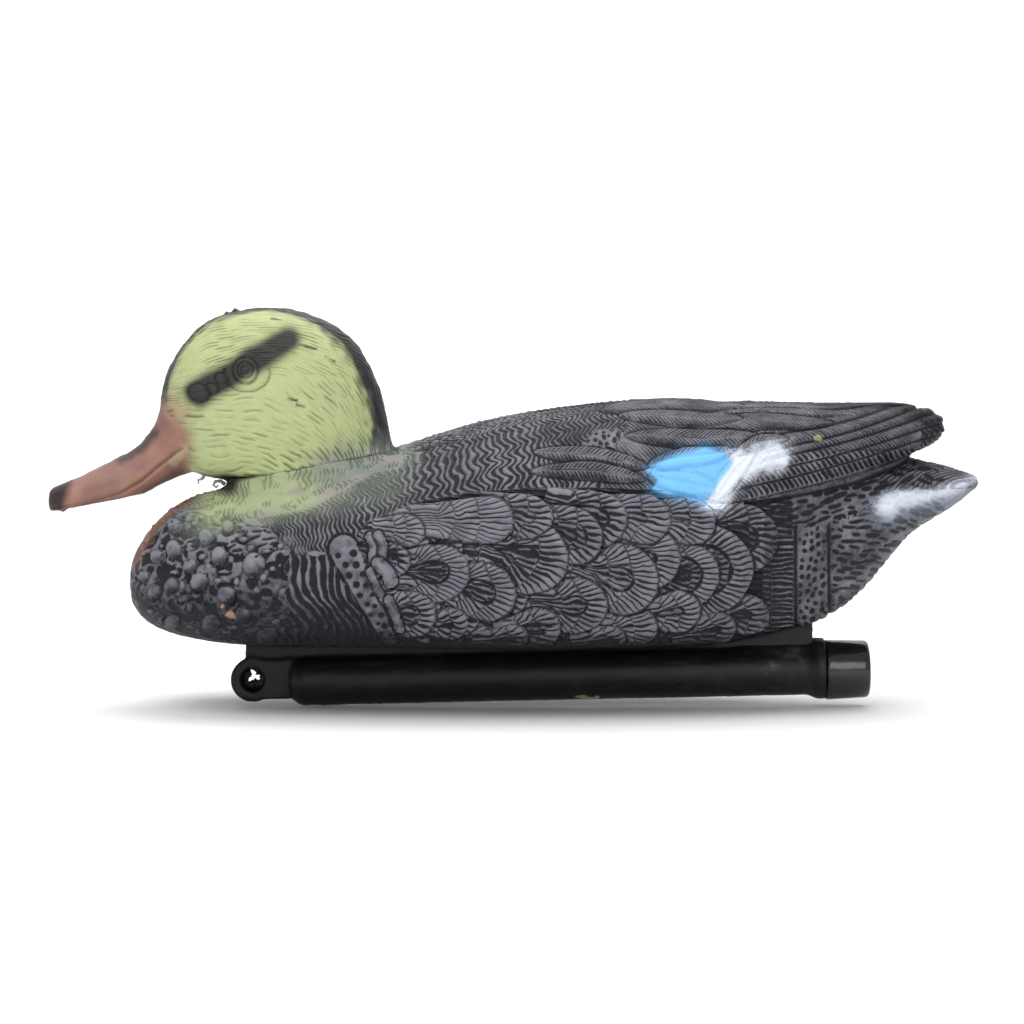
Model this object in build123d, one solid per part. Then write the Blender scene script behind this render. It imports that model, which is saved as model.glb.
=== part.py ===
from build123d import *

import os
from collections import namedtuple
from math import copysign, cos, pi, radians, sin

# A floating duck decoy with a ballast keel, in millimetres.
#
# The origin lies on the centre plane, on the waterline, midway between bill tip and tail tip.
# +X runs towards the tail, +Z is up, and the decoy's left side faces -Y.
#
# The body, the head and the keel are three thin hollow mouldings in one black plastic. The head
# plugs into a cup in the body. The keel is a tube under a web, with a line eye at its front and a
# mouth at its rear, which a push-on cap closes. The tube holds the ballast.

# ---------------------------------------------------------------- driving dimensions

BODY_WALL = 1.8
HEAD_WALL = 1.8
SECTION_POINTS = 24

NECK_CENTRE = (-81.2, 0.0, 53.5)
NECK_TILT = 10.6          # the neck seam rises towards the tail
NECK_LENGTH = 35.2        # half the seam ellipse, fore and aft
NECK_WIDTH = 25.0         # half the seam ellipse, across
SPIGOT_RADIUS = 18.0
SPIGOT_DEPTH = 12.0
SPIGOT_PLAY = 0.1         # radial gap of the spigot in its cup
CUP_FLOOR_GAP = 1.0

KEEL_AXIS_Z = -30.4       # height of the keel tube's axis at the origin's X
KEEL_RISE = 1.2           # degrees that the tube rises towards the tail
TUBE_RADIUS = 9.9
CHAMBER_RADIUS = 8.2
TUBE_FRONT = -90.0
TUBE_NOSE_FILLET = 6.0
TUBE_REAR = 116.5
FLANGE_RADIUS = 11.6
FLANGE_FRONT = 120.6
FLANGE_REAR = 123.8
MOUTH_RADIUS = 7.6
MOUTH_FRONT = 114.0
SPIGOT_END = 136.0        # rear end of the tube's neck, inside the cap
TUBE_NECK_RADIUS = 9.6

WEB_FRONT = -107.0
WEB_REAR = 119.0
WEB_THICKNESS = 6.0
WEB_TOP = 34.0            # above the tube's axis, well inside the hull before the cut

LUG_X = -104.6
LUG_Z = 0.9               # above the tube's axis
LUG_RADIUS = 8.8
LUG_PLATE_HALF = 7.8
LUG_THICKNESS = 8.0
LINE_EYE_RADIUS = 4.8

CAP_REAR = 141.1
CAP_FRONT_RADIUS = 12.0
CAP_REAR_RADIUS = 11.4
CAP_BORE = 9.7
CAP_EDGE = 1.6
CAP_SEAT_GAP = 0.1        # between the flange and the cap's lip
LINER_THICKNESS = 1.5

RING_WIRE = 0.45          # radius of the sealing ring's own section
RING_RADIUS = 9.2
RING_X = 131.0
GROOVE_WIDTH = 1.3
GROOVE_RADIUS = 8.7

BALLAST_PLAY = 0.1
SAND_FRONT = -80.0
SAND_REAR = 92.0
STOPPER_REAR = 106.0

# ---------------------------------------------------------------- outline of the mouldings

# One section of the hull, across X. wide_z is the height of the widest point, and the powers shape
# the curve above and below it: 2 is an ellipse, more is boxier, less is a kite.
Station = namedtuple("Station", "x top bottom wide_z half top_power bottom_power")

HULL = [
    Station(-152.8, 12.6, 2.0, 7.5, 8.0, 2.0, 2.0),
    Station(-150.9, 19.0, -3.5, 8.5, 18.5, 2.0, 2.0),
    Station(-147.4, 25.4, -7.5, 9.5, 28.0, 2.0, 2.0),
    Station(-141.6, 32.4, -11.0, 10.5, 37.0, 2.0, 2.1),
    Station(-132.0, 39.8, -14.0, 11.5, 46.0, 2.0, 2.2),
    Station(-115.0, 44.8, -16.6, 12.5, 55.0, 2.0, 2.4),
    Station(-90.0, 49.0, -17.6, 13.5, 61.0, 2.0, 2.5),
    Station(-55.0, 58.4, -18.0, 15.0, 66.0, 2.0, 2.6),
    Station(-20.0, 69.8, -18.4, 16.5, 68.0, 2.1, 2.6),
    Station(20.0, 77.4, -18.6, 18.0, 67.0, 2.2, 2.6),
    Station(60.0, 80.4, -17.6, 20.0, 62.0, 2.2, 2.5),
    Station(90.0, 77.6, -15.6, 22.0, 55.0, 2.1, 2.3),
    Station(112.0, 70.0, -10.4, 25.0, 46.0, 2.0, 2.1),
    Station(130.0, 63.5, -3.0, 30.0, 37.0, 1.9, 1.9),
    Station(144.0, 60.0, 10.5, 37.0, 30.5, 1.8, 1.8),
    Station(156.0, 57.4, 25.0, 41.5, 26.5, 1.7, 1.7),
    Station(168.0, 54.6, 33.6, 44.5, 20.5, 1.7, 1.7),
    Station(178.0, 51.6, 40.2, 46.4, 12.5, 1.8, 1.8),
    Station(184.5, 49.2, 45.2, 47.2, 4.5, 2.0, 2.0),
]

WINGS = [
    Station(34.0, 70.0, 50.0, 58.0, 36.0, 2.1, 2.2),
    Station(48.0, 74.6, 46.8, 54.6, 41.6, 2.1, 2.2),
    Station(64.0, 77.6, 43.8, 51.8, 46.2, 2.1, 2.2),
    Station(86.0, 79.2, 41.5, 50.0, 49.5, 2.1, 2.2),
    Station(110.0, 78.7, 46.0, 53.5, 43.5, 2.0, 2.2),
    Station(135.0, 78.4, 52.2, 58.5, 32.0, 2.0, 2.2),
    Station(150.0, 78.2, 56.4, 62.0, 23.0, 2.0, 2.2),
    Station(160.0, 77.0, 60.2, 65.0, 15.5, 2.0, 2.2),
    Station(167.0, 75.0, 63.4, 67.6, 9.0, 2.0, 2.0),
    Station(170.4, 72.0, 66.4, 69.0, 3.6, 2.0, 2.0),
]

BILL = [
    Station(-120.0, 84.0, 58.0, 70.0, 11.0, 2.0, 2.0),
    Station(-130.0, 82.5, 50.8, 66.0, 12.4, 2.0, 2.0),
    Station(-138.0, 79.0, 47.2, 61.0, 12.8, 2.0, 2.2),
    Station(-145.0, 68.6, 43.9, 54.0, 12.2, 1.9, 2.4),
    Station(-151.0, 61.0, 41.2, 48.0, 12.2, 2.0, 2.6),
    Station(-158.0, 57.0, 38.6, 44.8, 12.8, 2.2, 2.7),
    Station(-166.0, 52.8, 36.4, 42.0, 13.6, 2.3, 2.7),
    Station(-174.0, 49.0, 34.8, 39.8, 13.8, 2.3, 2.6),
    Station(-180.0, 46.4, 34.2, 38.8, 12.0, 2.2, 2.4),
    Station(-184.0, 44.8, 34.8, 39.2, 8.4, 2.0, 2.2),
    Station(-185.6, 43.0, 36.4, 39.8, 4.6, 2.0, 2.0),
]

# One level of the head, across Z: how far it reaches forward and back, and half its width.
Level = namedtuple("Level", "z front back half")

HEAD = [
    Level(38.0, -110.0, -50.0, 23.0),
    Level(45.5, -113.6, -48.8, 24.2),
    Level(48.8, -119.0, -48.2, 24.8),
    Level(51.6, -128.2, -47.8, 25.2),
    Level(54.6, -131.6, -47.6, 25.6),
    Level(61.0, -135.2, -47.8, 26.4),
    Level(70.0, -139.0, -50.0, 27.0),
    Level(80.0, -141.8, -52.6, 26.6),
    Level(90.0, -139.6, -56.4, 25.2),
    Level(98.0, -135.6, -60.4, 23.0),
    Level(105.0, -129.8, -66.0, 19.6),
    Level(110.5, -123.0, -74.0, 15.6),
    Level(114.2, -114.5, -83.0, 10.6),
    Level(116.2, -105.0, -91.0, 5.0),
]

COLLAR_FLARE = [(0.0, 0.0), (3.0, 1.2), (8.0, 6.5), (14.0, 14.0), (22.0, 22.0)]   # depth, growth of the radii

# ---------------------------------------------------------------- helpers


def power_curve(angle, power):
    """The two factors of a superellipse at an angle."""
    c, s = cos(angle), sin(angle)
    return copysign(abs(c) ** (2 / power), c), copysign(abs(s) ** (2 / power), s)


def section_wire(station):
    """The closed curve of one hull section, starting at its lowest point."""
    points = []
    for k in range(SECTION_POINTS):
        angle = 2 * pi * k / SECTION_POINTS - pi / 2
        upper = sin(angle) > 0
        power = station.top_power if upper else station.bottom_power
        reach = station.top - station.wide_z if upper else station.wide_z - station.bottom
        across, up = power_curve(angle, power)
        points.append((station.x, station.half * across, station.wide_z + reach * up))
    return Wire([Spline(*points, periodic=True)])


def skin(stations):
    """The solid through a list of hull sections."""
    return Solid.make_loft([section_wire(s) for s in stations])


def inset(station, wall):
    """The same section, one wall further in."""
    return station._replace(
        top=station.top - wall, bottom=station.bottom + wall, half=station.half - wall
    )


def level_wire(level):
    """The closed oval of one level of the head."""
    middle = (level.front + level.back) / 2
    reach = (level.back - level.front) / 2
    points = []
    for k in range(SECTION_POINTS):
        angle = 2 * pi * k / SECTION_POINTS
        points.append((middle + reach * cos(angle), level.half * sin(angle), level.z))
    return Wire([Spline(*points, periodic=True)])


def neck_plane(height):
    """A plane along the neck seam, that far above it along the neck's axis."""
    tilt = radians(NECK_TILT)
    plane = Plane(NECK_CENTRE, x_dir=(cos(tilt), 0, sin(tilt)), z_dir=(-sin(tilt), 0, cos(tilt)))
    return plane.offset(height)


def neck_cylinder(radius, low, high):
    """A cylinder on the neck's axis, between two heights over the seam."""
    return extrude(neck_plane(low) * Circle(radius), high - low)


def turned(profile):
    """A solid of revolution about X, from (x, radius) points along its section."""
    outline = Polyline(*[(x, 0, radius) for x, radius in profile], close=True)
    return revolve(make_face(outline), Axis.X)


def on_keel(shape):
    """Moves a shape from the keel's own frame, whose X is the tube's axis, to the decoy's."""
    return Location((0, 0, KEEL_AXIS_Z), (0, -KEEL_RISE, 0)) * shape


# ---------------------------------------------------------------- the mouldings


def collar(start, wall):
    """The flared foot of the neck, from a depth under the seam down, one wall further in."""
    rings = []
    for depth, growth in COLLAR_FLARE:
        oval = Ellipse(NECK_LENGTH + growth - wall, NECK_WIDTH + growth - wall)
        rings.append((neck_plane(-start - depth) * oval).wire())
    return Solid.make_loft(rings)


def over_seam(wall):
    """The space over the neck seam, grown by a wall thickness."""
    length = 2 * (NECK_LENGTH + wall)
    return neck_plane(-wall) * Box(length, 90, 60, align=(Align.CENTER, Align.CENTER, Align.MIN))


def hull_outside():
    """The body's outer shape: hull and tail, folded wings, and the collar under the head."""
    return (skin(HULL) - over_seam(0)) + skin(WINGS) + collar(0, 0)


def body_shell(outside):
    """The hollow body, with a cup for the head's spigot."""
    cavity = skin([inset(s, BODY_WALL) for s in HULL[2:16]])
    cavity += skin([inset(s, BODY_WALL) for s in WINGS[:8]])
    cavity += collar(BODY_WALL, BODY_WALL)
    cup_depth = SPIGOT_DEPTH + CUP_FLOOR_GAP
    cup_radius = SPIGOT_RADIUS + SPIGOT_PLAY
    cup_wall = neck_cylinder(cup_radius + BODY_WALL, -cup_depth - BODY_WALL, 10)
    cup = neck_cylinder(cup_radius, -cup_depth, 10)
    return outside - (cavity - cup_wall - over_seam(BODY_WALL)) - cup


def head_shell():
    """The hollow head and bill, with the spigot that plugs into the body."""
    skull = Solid.make_loft([level_wire(v) for v in HEAD])
    below_seam = neck_plane(0) * Box(200, 90, 60, align=(Align.CENTER, Align.CENTER, Align.MAX))
    outside = skull + skin(BILL) - below_seam
    cavity = Solid.make_loft(
        [
            level_wire(Level(v.z, v.front + HEAD_WALL, v.back - HEAD_WALL, v.half - HEAD_WALL))
            for v in HEAD[5:12]
        ]
    )
    bill_cavity = skin([inset(s, HEAD_WALL) for s in BILL[2:8]])
    spigot = neck_cylinder(SPIGOT_RADIUS, -SPIGOT_DEPTH, 4)
    bore = neck_cylinder(SPIGOT_RADIUS - HEAD_WALL, HEAD_WALL - SPIGOT_DEPTH, 14)
    return outside + spigot - cavity - bill_cavity - bore


def keel_tube(hull):
    """The ballast tube with its web, line eye and mouth. The web is cut to the hull it meets."""
    tube = turned(
        [(TUBE_FRONT, 0), (TUBE_FRONT, TUBE_RADIUS), (TUBE_REAR, TUBE_RADIUS)]
        + [(FLANGE_FRONT, FLANGE_RADIUS), (FLANGE_REAR, FLANGE_RADIUS)]
        + [(FLANGE_REAR, TUBE_NECK_RADIUS), (SPIGOT_END, TUBE_NECK_RADIUS), (SPIGOT_END, 0)]
    )
    nose = tube.edges().filter_by(GeomType.CIRCLE).sort_by(Axis.X)[0]
    tube = fillet(nose, TUBE_NOSE_FILLET)
    web = Box(
        WEB_REAR - WEB_FRONT,
        WEB_THICKNESS,
        WEB_TOP,
        align=(Align.MIN, Align.CENTER, Align.MIN),
    ).moved(Location((WEB_FRONT, 0, 0)))
    lug_plate = Plane.XZ * (
        Pos(LUG_X, LUG_Z) * Circle(LUG_RADIUS)
        + Pos((LUG_X + TUBE_FRONT) / 2 + 4, LUG_Z)
        * Rectangle(TUBE_FRONT - LUG_X + 8, 2 * LUG_PLATE_HALF)
    )
    lug = extrude(lug_plate, LUG_THICKNESS / 2, both=True)
    eye = extrude(Plane.XZ * Pos(LUG_X, LUG_Z) * Circle(LINE_EYE_RADIUS), LUG_THICKNESS, both=True)
    chamber = turned(
        [(SAND_FRONT - 1, 0), (SAND_FRONT - 1, CHAMBER_RADIUS)]
        + [(MOUTH_FRONT - 2, CHAMBER_RADIUS), (MOUTH_FRONT, MOUTH_RADIUS)]
        + [(SPIGOT_END + 5, MOUTH_RADIUS), (SPIGOT_END + 5, 0)]
    )
    groove = ring_section(GROOVE_WIDTH)
    keel = on_keel(tube + web + lug - eye - chamber - groove)
    return keel - hull


def ring_section(width):
    """The groove that the sealing ring sits in."""
    return turned(
        [(RING_X - width / 2, GROOVE_RADIUS), (RING_X - width / 2, TUBE_NECK_RADIUS + 2)]
        + [(RING_X + width / 2, TUBE_NECK_RADIUS + 2), (RING_X + width / 2, GROOVE_RADIUS)]
    )


# ---------------------------------------------------------------- cap, seals and ballast


def sealing_ring():
    """The rubber ring in the groove on the tube's neck."""
    ring = Torus(RING_RADIUS, RING_WIRE)
    return on_keel(Location((RING_X, 0, 0), (0, 90, 0)) * ring)


def keel_cap():
    """The push-on cap over the tube's neck, slightly tapered, with a rounded rear edge."""
    front = FLANGE_REAR + CAP_SEAT_GAP
    end_wall = SPIGOT_END + LINER_THICKNESS + 2 * CAP_SEAT_GAP
    cap = turned(
        [(front, CAP_BORE), (front, CAP_FRONT_RADIUS), (CAP_REAR, CAP_REAR_RADIUS)]
        + [(CAP_REAR, 0), (end_wall, 0), (end_wall, CAP_BORE)]
    )
    rim = cap.edges().filter_by(GeomType.CIRCLE).sort_by(Axis.X)[-1]
    return on_keel(fillet(rim, CAP_EDGE))


def cap_liner():
    """The rubber disc inside the cap, which the tube's mouth closes against."""
    front = SPIGOT_END + CAP_SEAT_GAP
    radius = CAP_BORE - CAP_SEAT_GAP
    disc = turned(
        [(front, 0), (front, radius), (front + LINER_THICKNESS, radius), (front + LINER_THICKNESS, 0)]
    )
    return on_keel(disc)


def plug(front, rear):
    """A round filling of the ballast chamber."""
    radius = CHAMBER_RADIUS - BALLAST_PLAY
    return on_keel(turned([(front, 0), (front, radius), (rear, radius), (rear, 0)]))


def build():
    """Every piece of the decoy, by node name."""
    hull = hull_outside()
    return {
        "body_shell": body_shell(hull),
        "head_shell": head_shell(),
        "keel_tube": keel_tube(hull),
        "sealing_ring": sealing_ring(),
        "keel_cap": keel_cap(),
        "cap_liner": cap_liner(),
        "ballast_sand": plug(SAND_FRONT, SAND_REAR),
        "foam_stopper": plug(SAND_REAR + BALLAST_PLAY, STOPPER_REAR),
    }


os.makedirs("parts", exist_ok=True)
for name, piece in build().items():
    export_step(piece, f"parts/{name}.step")
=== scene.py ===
"""Looks of the floating duck decoy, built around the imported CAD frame.

The body and the head are one skin, remeshed from the CAD shells and blended at the neck. The moulded
relief (feathers, ripples, pebbles, pits) is displaced into it from formulas, and the same fields go
to the materials as vertex attributes, so paint and relief agree. Lengths in the formulas are in
millimetres: x towards the tail, z up from the waterline, |y| out from the centre plane.
"""

import math

import bmesh
import bpy
import numpy as np
from mathutils import Matrix, Vector


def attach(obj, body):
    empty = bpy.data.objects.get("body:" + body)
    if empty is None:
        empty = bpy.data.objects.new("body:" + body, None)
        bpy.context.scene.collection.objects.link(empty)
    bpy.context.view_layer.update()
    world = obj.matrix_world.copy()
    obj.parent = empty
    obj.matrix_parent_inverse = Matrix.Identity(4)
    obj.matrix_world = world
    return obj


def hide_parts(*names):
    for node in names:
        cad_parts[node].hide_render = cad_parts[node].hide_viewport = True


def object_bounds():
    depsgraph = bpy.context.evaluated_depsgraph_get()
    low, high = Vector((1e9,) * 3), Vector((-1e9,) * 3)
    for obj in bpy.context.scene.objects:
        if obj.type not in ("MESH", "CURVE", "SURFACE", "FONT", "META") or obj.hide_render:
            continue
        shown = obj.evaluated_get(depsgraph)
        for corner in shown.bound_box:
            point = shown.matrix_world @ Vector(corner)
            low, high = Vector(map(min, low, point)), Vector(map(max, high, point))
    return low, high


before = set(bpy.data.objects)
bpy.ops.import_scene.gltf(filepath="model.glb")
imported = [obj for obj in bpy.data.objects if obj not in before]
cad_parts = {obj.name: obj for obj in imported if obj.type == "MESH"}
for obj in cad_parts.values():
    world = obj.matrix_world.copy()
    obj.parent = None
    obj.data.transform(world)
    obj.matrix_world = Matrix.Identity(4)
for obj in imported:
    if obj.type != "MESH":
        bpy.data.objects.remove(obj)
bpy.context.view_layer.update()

SEED = 7
AWAY = 1135               # distance of the photograph's camera, mm
EYE_LEVEL = 35            # height that the camera looks at, mm
COARSE = 0.00135          # voxel of the base skin, m; one subdivision halves it
FINE = 0.0007             # voxel of the keel, m
WELD = 1e-6               # vertices closer than this are one, m
FAR = 9.0                 # a distance that counts as outside everything, mm
NECK = np.array([-81.2, 0.0, 53.5])
TILT = math.radians(10.6)
NECK_UP = np.array([-math.sin(TILT), 0.0, math.cos(TILT)])
NECK_BACK = np.array([math.cos(TILT), 0.0, math.sin(TILT)])
NAPE = 34.8               # how far behind the neck's centre the seam turns up

# ---------------------------------------------------------------- numeric helpers


def smooth(low, high, value):
    """0 below low, 1 above high, smooth between."""
    t = np.clip((value - low) / (high - low), 0.0, 1.0)
    return t * t * (3 - 2 * t)


def mix(a, b, t):
    return a + (b - a) * t


def hashed(*keys):
    """A repeatable number from 0 to 1 for each set of whole-number keys."""
    total = np.zeros(np.broadcast(*keys).shape, np.uint64)
    for key, prime in zip(keys, (374761393, 668265263, 2246822519, 3266489917)):
        whole = np.atleast_1d(key).astype(np.int64) & 0xFFFFFFFF
        total = total + whole.astype(np.uint64) * prime
    total = (total ^ (total >> 13)) * 1274126177 & 0xFFFFFFFF
    total = (total ^ (total >> 16)) * 2654435761 & 0xFFFFFFFF
    return ((total ^ (total >> 15)) & 0xFFFFFF) / float(0x1000000)


def noise(points, size, seed=0):
    """Smooth noise from -1 to 1 over points, with features about that size."""
    q = points / size + 31.7 * (seed + 1)
    cell = np.floor(q).astype(np.int64)
    f = q - cell
    f = f * f * (3 - 2 * f)
    total = np.zeros(len(points))
    for corner in range(8):
        step = np.array([corner & 1, corner >> 1 & 1, corner >> 2 & 1])
        weight = np.prod(np.where(step, f, 1 - f), axis=1)
        c = cell + step
        total += weight * hashed(*c.T, seed + SEED)
    return total * 2 - 1


def bell(distance, width):
    """1 where distance is zero, falling to nothing over about two widths."""
    return np.exp(-((distance / width) ** 2))


def as_seen(p):
    """Points spread as they look, square from the side, from a little over a metre away."""
    x, y, z = p.T
    spread = AWAY / (AWAY - np.abs(y))
    return np.stack([x * spread, y, EYE_LEVEL + (z - EYE_LEVEL) * spread], axis=1)


def triangle(t):
    """A triangle wave from -1 to 1 with period 1."""
    return 4 * np.abs(t - np.floor(t + 0.5)) - 1


def segment_distance(x, z, a, b):
    """Distance in the side view to the segment from a to b, and how far along it, 0 to 1."""
    ax, az = a
    dx, dz = b[0] - ax, b[1] - az
    t = np.clip(((x - ax) * dx + (z - az) * dz) / (dx * dx + dz * dz), 0, 1)
    return np.hypot(x - ax - t * dx, z - az - t * dz), t


def line_distance(x, z, points):
    """Distance in the side view to a chain of points."""
    return np.min([segment_distance(x, z, a, b)[0] for a, b in zip(points, points[1:])], axis=0)


def along_line(x, z, points):
    """Share of the way along a line of points, signed distance beside it, and its length."""
    best = np.full(len(x), np.inf)
    along, beside = np.zeros(len(x)), np.zeros(len(x))
    start = 0.0
    for a, b in zip(points, points[1:]):
        distance, t = segment_distance(x, z, a, b)
        size = math.dist(a, b)
        side = (b[0] - a[0]) * (z - a[1]) - (b[1] - a[1]) * (x - a[0])
        closer = distance < best
        best = np.where(closer, distance, best)
        along = np.where(closer, start + t * size, along)
        beside = np.where(closer, distance * np.sign(side), beside)
        start += size
    return along / start, beside, start


def inside(x, z, points):
    """Signed distance in the side view to a closed outline, positive inside."""
    odd = np.zeros(len(x), bool)
    for (x0, z0), (x1, z1) in zip(points, points[1:] + points[:1]):
        crosses = (z0 > z) != (z1 > z)
        with np.errstate(divide="ignore", invalid="ignore"):
            at = (x1 - x0) * (z - z0) / (z1 - z0) + x0
        odd ^= crosses & (x < at)
    return np.where(odd, 1, -1) * line_distance(x, z, points + points[:1])


# ---------------------------------------------------------------- the bare skin


def cad_surface(node):
    """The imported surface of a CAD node, welded, as a bmesh."""
    bm = bmesh.new()
    bm.from_mesh(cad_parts[node].data)
    bmesh.ops.remove_doubles(bm, verts=bm.verts, dist=WELD)
    return bm


def keep_island(bm, size):
    """Deletes every separate surface but the one with the greatest size."""
    seen, islands = set(), []
    for start in bm.verts:
        if start in seen:
            continue
        seen.add(start)
        island, queue = [start], [start]
        while queue:
            for edge in queue.pop().link_edges:
                for v in edge.verts:
                    if v not in seen:
                        seen.add(v)
                        island.append(v)
                        queue.append(v)
        islands.append(island)
    islands.sort(key=size)
    bmesh.ops.delete(bm, geom=[v for i in islands[:-1] for v in i], context="VERTS")


def span(island):
    """Length of an island along x."""
    xs = [v.co.x for v in island]
    return max(xs) - min(xs)


def new_object(name, data):
    """An object in the scene around a mesh, a lamp or a camera."""
    obj = bpy.data.objects.new(name, data)
    bpy.context.scene.collection.objects.link(obj)
    return obj


def new_mesh(name, bm):
    mesh = bpy.data.meshes.new(name)
    bm.to_mesh(mesh)
    return mesh


def store(mesh, name, values):
    """Keeps a number or a colour for each vertex, for the materials."""
    kind, field = ("FLOAT", "value") if values.ndim == 1 else ("FLOAT_COLOR", "color")
    layer = mesh.attributes.new(name, kind, "POINT")
    layer.data.foreach_set(field, values.astype(np.float32).ravel())


def bridge(bm, a, b):
    """Joins two rings of vertices with faces."""
    for k in range(len(a)):
        m = (k + 1) % len(a)
        bm.faces.new((a[k], a[m], b[m], b[k]))


def with_modifier(obj, kind, **settings):
    """Applies one modifier to an object's mesh."""
    modifier = obj.modifiers.new(kind, kind)
    for key, value in settings.items():
        setattr(modifier, key, value)
    graph = bpy.context.evaluated_depsgraph_get()
    mesh = bpy.data.meshes.new_from_object(obj.evaluated_get(graph))
    obj.modifiers.clear()
    old, obj.data = obj.data, mesh
    bpy.data.meshes.remove(old)


def coordinates(mesh):
    """A mesh's vertices in millimetres."""
    co = np.empty(len(mesh.vertices) * 3, np.float32)
    mesh.vertices.foreach_get("co", co)
    return co.reshape(-1, 3).astype(float) * 1000


def set_coordinates(mesh, points):
    mesh.vertices.foreach_set("co", (points / 1000).astype(np.float32).ravel())
    mesh.update()


def normals(mesh):
    n = np.empty(len(mesh.vertices) * 3, np.float32)
    mesh.vertex_normals.foreach_get("vector", n)
    return n.reshape(-1, 3).astype(float)


def relax(mesh, rounds, weight, shrink_back=0.0):
    """Smooths a mesh. weight is one number per vertex; shrink_back undoes the shrinking."""
    edges = np.empty(len(mesh.edges) * 2, np.int32)
    mesh.edges.foreach_get("vertices", edges)
    a, b = edges.reshape(-1, 2).T
    points = coordinates(mesh)
    count = np.bincount(a, minlength=len(points)) + np.bincount(b, minlength=len(points))
    factors = [0.5, -shrink_back] if shrink_back else [0.5]
    for _ in range(rounds):
        for factor in factors:
            total = np.zeros_like(points)
            for axis in range(3):
                total[:, axis] = np.bincount(a, points[b, axis], len(points))
                total[:, axis] += np.bincount(b, points[a, axis], len(points))
            step = total / count[:, None] - points
            points = points + step * (factor * weight)[:, None]
    set_coordinates(mesh, points)


def bare_skin():
    """One smooth closed skin over body and head, blended at the neck, the bill and the wings."""
    bm = cad_surface("body_shell")
    head = cad_surface("head_shell")
    for shell in (bm, head):
        keep_island(shell, span)      # the cavity is the shorter surface
    bm.from_mesh(new_mesh("head_part", head))
    up = Vector(NECK_UP)
    centre = Vector(NECK / 1000) - up * 0.007
    plug, turn = 0.0195, up.to_track_quat("Z", "Y").to_matrix().to_4x4()
    bmesh.ops.create_cone(
        bm, cap_ends=True, segments=64, radius1=plug, radius2=plug, depth=0.02,
        matrix=Matrix.Translation(centre) @ turn,
    )
    obj = new_object("skin", new_mesh("skin", bm))
    with_modifier(obj, "REMESH", mode="VOXEL", voxel_size=COARSE)
    bm = bmesh.new()
    bm.from_mesh(obj.data)
    keep_island(bm, len)
    bm.to_mesh(obj.data)
    relax(obj.data, 6, np.ones(len(obj.data.vertices)), shrink_back=0.52)
    p = coordinates(obj.data)
    x, y, z = p.T
    above, along = neck_frame(p)
    within = smooth(43, 35, np.abs(along))
    neck = bell(above, 9) * within * smooth(-36, -24, along) * smooth(3, 14, np.abs(y))
    chin = bell(above, 4) * within * 0.12
    bill = smooth(16, 5, np.abs(x + 141)) * smooth(40, 46, z)
    wing = smooth(6, 2, np.abs(z - wing_edge(x))) * smooth(60, 80, x) * 0.5
    wing *= smooth(160, 120, x)
    relax(obj.data, 60, np.clip(neck + chin + bill + wing, 0, 1))
    with_modifier(obj, "SUBSURF", levels=1, render_levels=1)
    return obj


def neck_frame(p):
    """Height over the neck seam, and distance behind the neck's centre along it."""
    q = p - NECK
    return q @ NECK_UP, q @ NECK_BACK


def wing_edge(x):
    """Height of the folded wing's lower edge."""
    return 41.1 + 0.2437 * (x - 86.5)


# ---------------------------------------------------------------- the body's own coordinates

# Sections of the body with its wings: x, top, widest height, bottom, half width.
SECTIONS = np.array([
    (-153.5, 13, 8, 2, 8), (-148, 26, 9.5, -7.5, 28), (-132, 41, 11.5, -14, 46),
    (-115, 46, 12.5, -16.6, 55), (-90, 50, 13.5, -17.6, 61), (-55, 60, 15, -18, 66),
    (-20, 72, 16.5, -18.4, 68), (20, 77.6, 18, -18.6, 67), (60, 79.4, 20, -17.6, 62),
    (90, 79.2, 22, -15.6, 55), (112, 79.2, 25, -10.4, 46), (130, 79, 30, -3, 37),
    (150, 78.8, 39, 18, 29), (168, 74, 44.5, 33.6, 20), (185, 60, 47, 45, 5),
])
AROUND = 62.0             # millimetres of skin for each radian round a section


def section_at(x):
    return [np.interp(x, SECTIONS[:, 0], SECTIONS[:, k]) for k in (1, 2, 3, 4)]


def round_of(turn, reach, half):
    """Distance round a section for an angle from its widest point, up or down."""
    down = reach * -turn + 0.8 * np.maximum(half - reach, 0) * (1 - np.cos(turn))
    return np.where(turn > 0, AROUND * turn, -down)


def around(x, y, z):
    """Distance round the section from its widest point: up the side is positive."""
    top, wide, bottom, half = section_at(x)
    reach = np.where(z > wide, top - wide, wide - bottom)
    return round_of(np.arctan2((z - wide) / reach, np.abs(y) / half), reach, half)


def around_at(x, z):
    """The same, for a place given in the side view."""
    top, wide, bottom, half = section_at(np.array([float(x)]))
    reach = top - wide if z > wide[0] else wide - bottom
    return float(round_of(np.arcsin(np.clip((z - wide) / reach, -1, 1)), reach, half)[0])


NO_STROKE, NO_PIT = -0.2, 3.0


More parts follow.
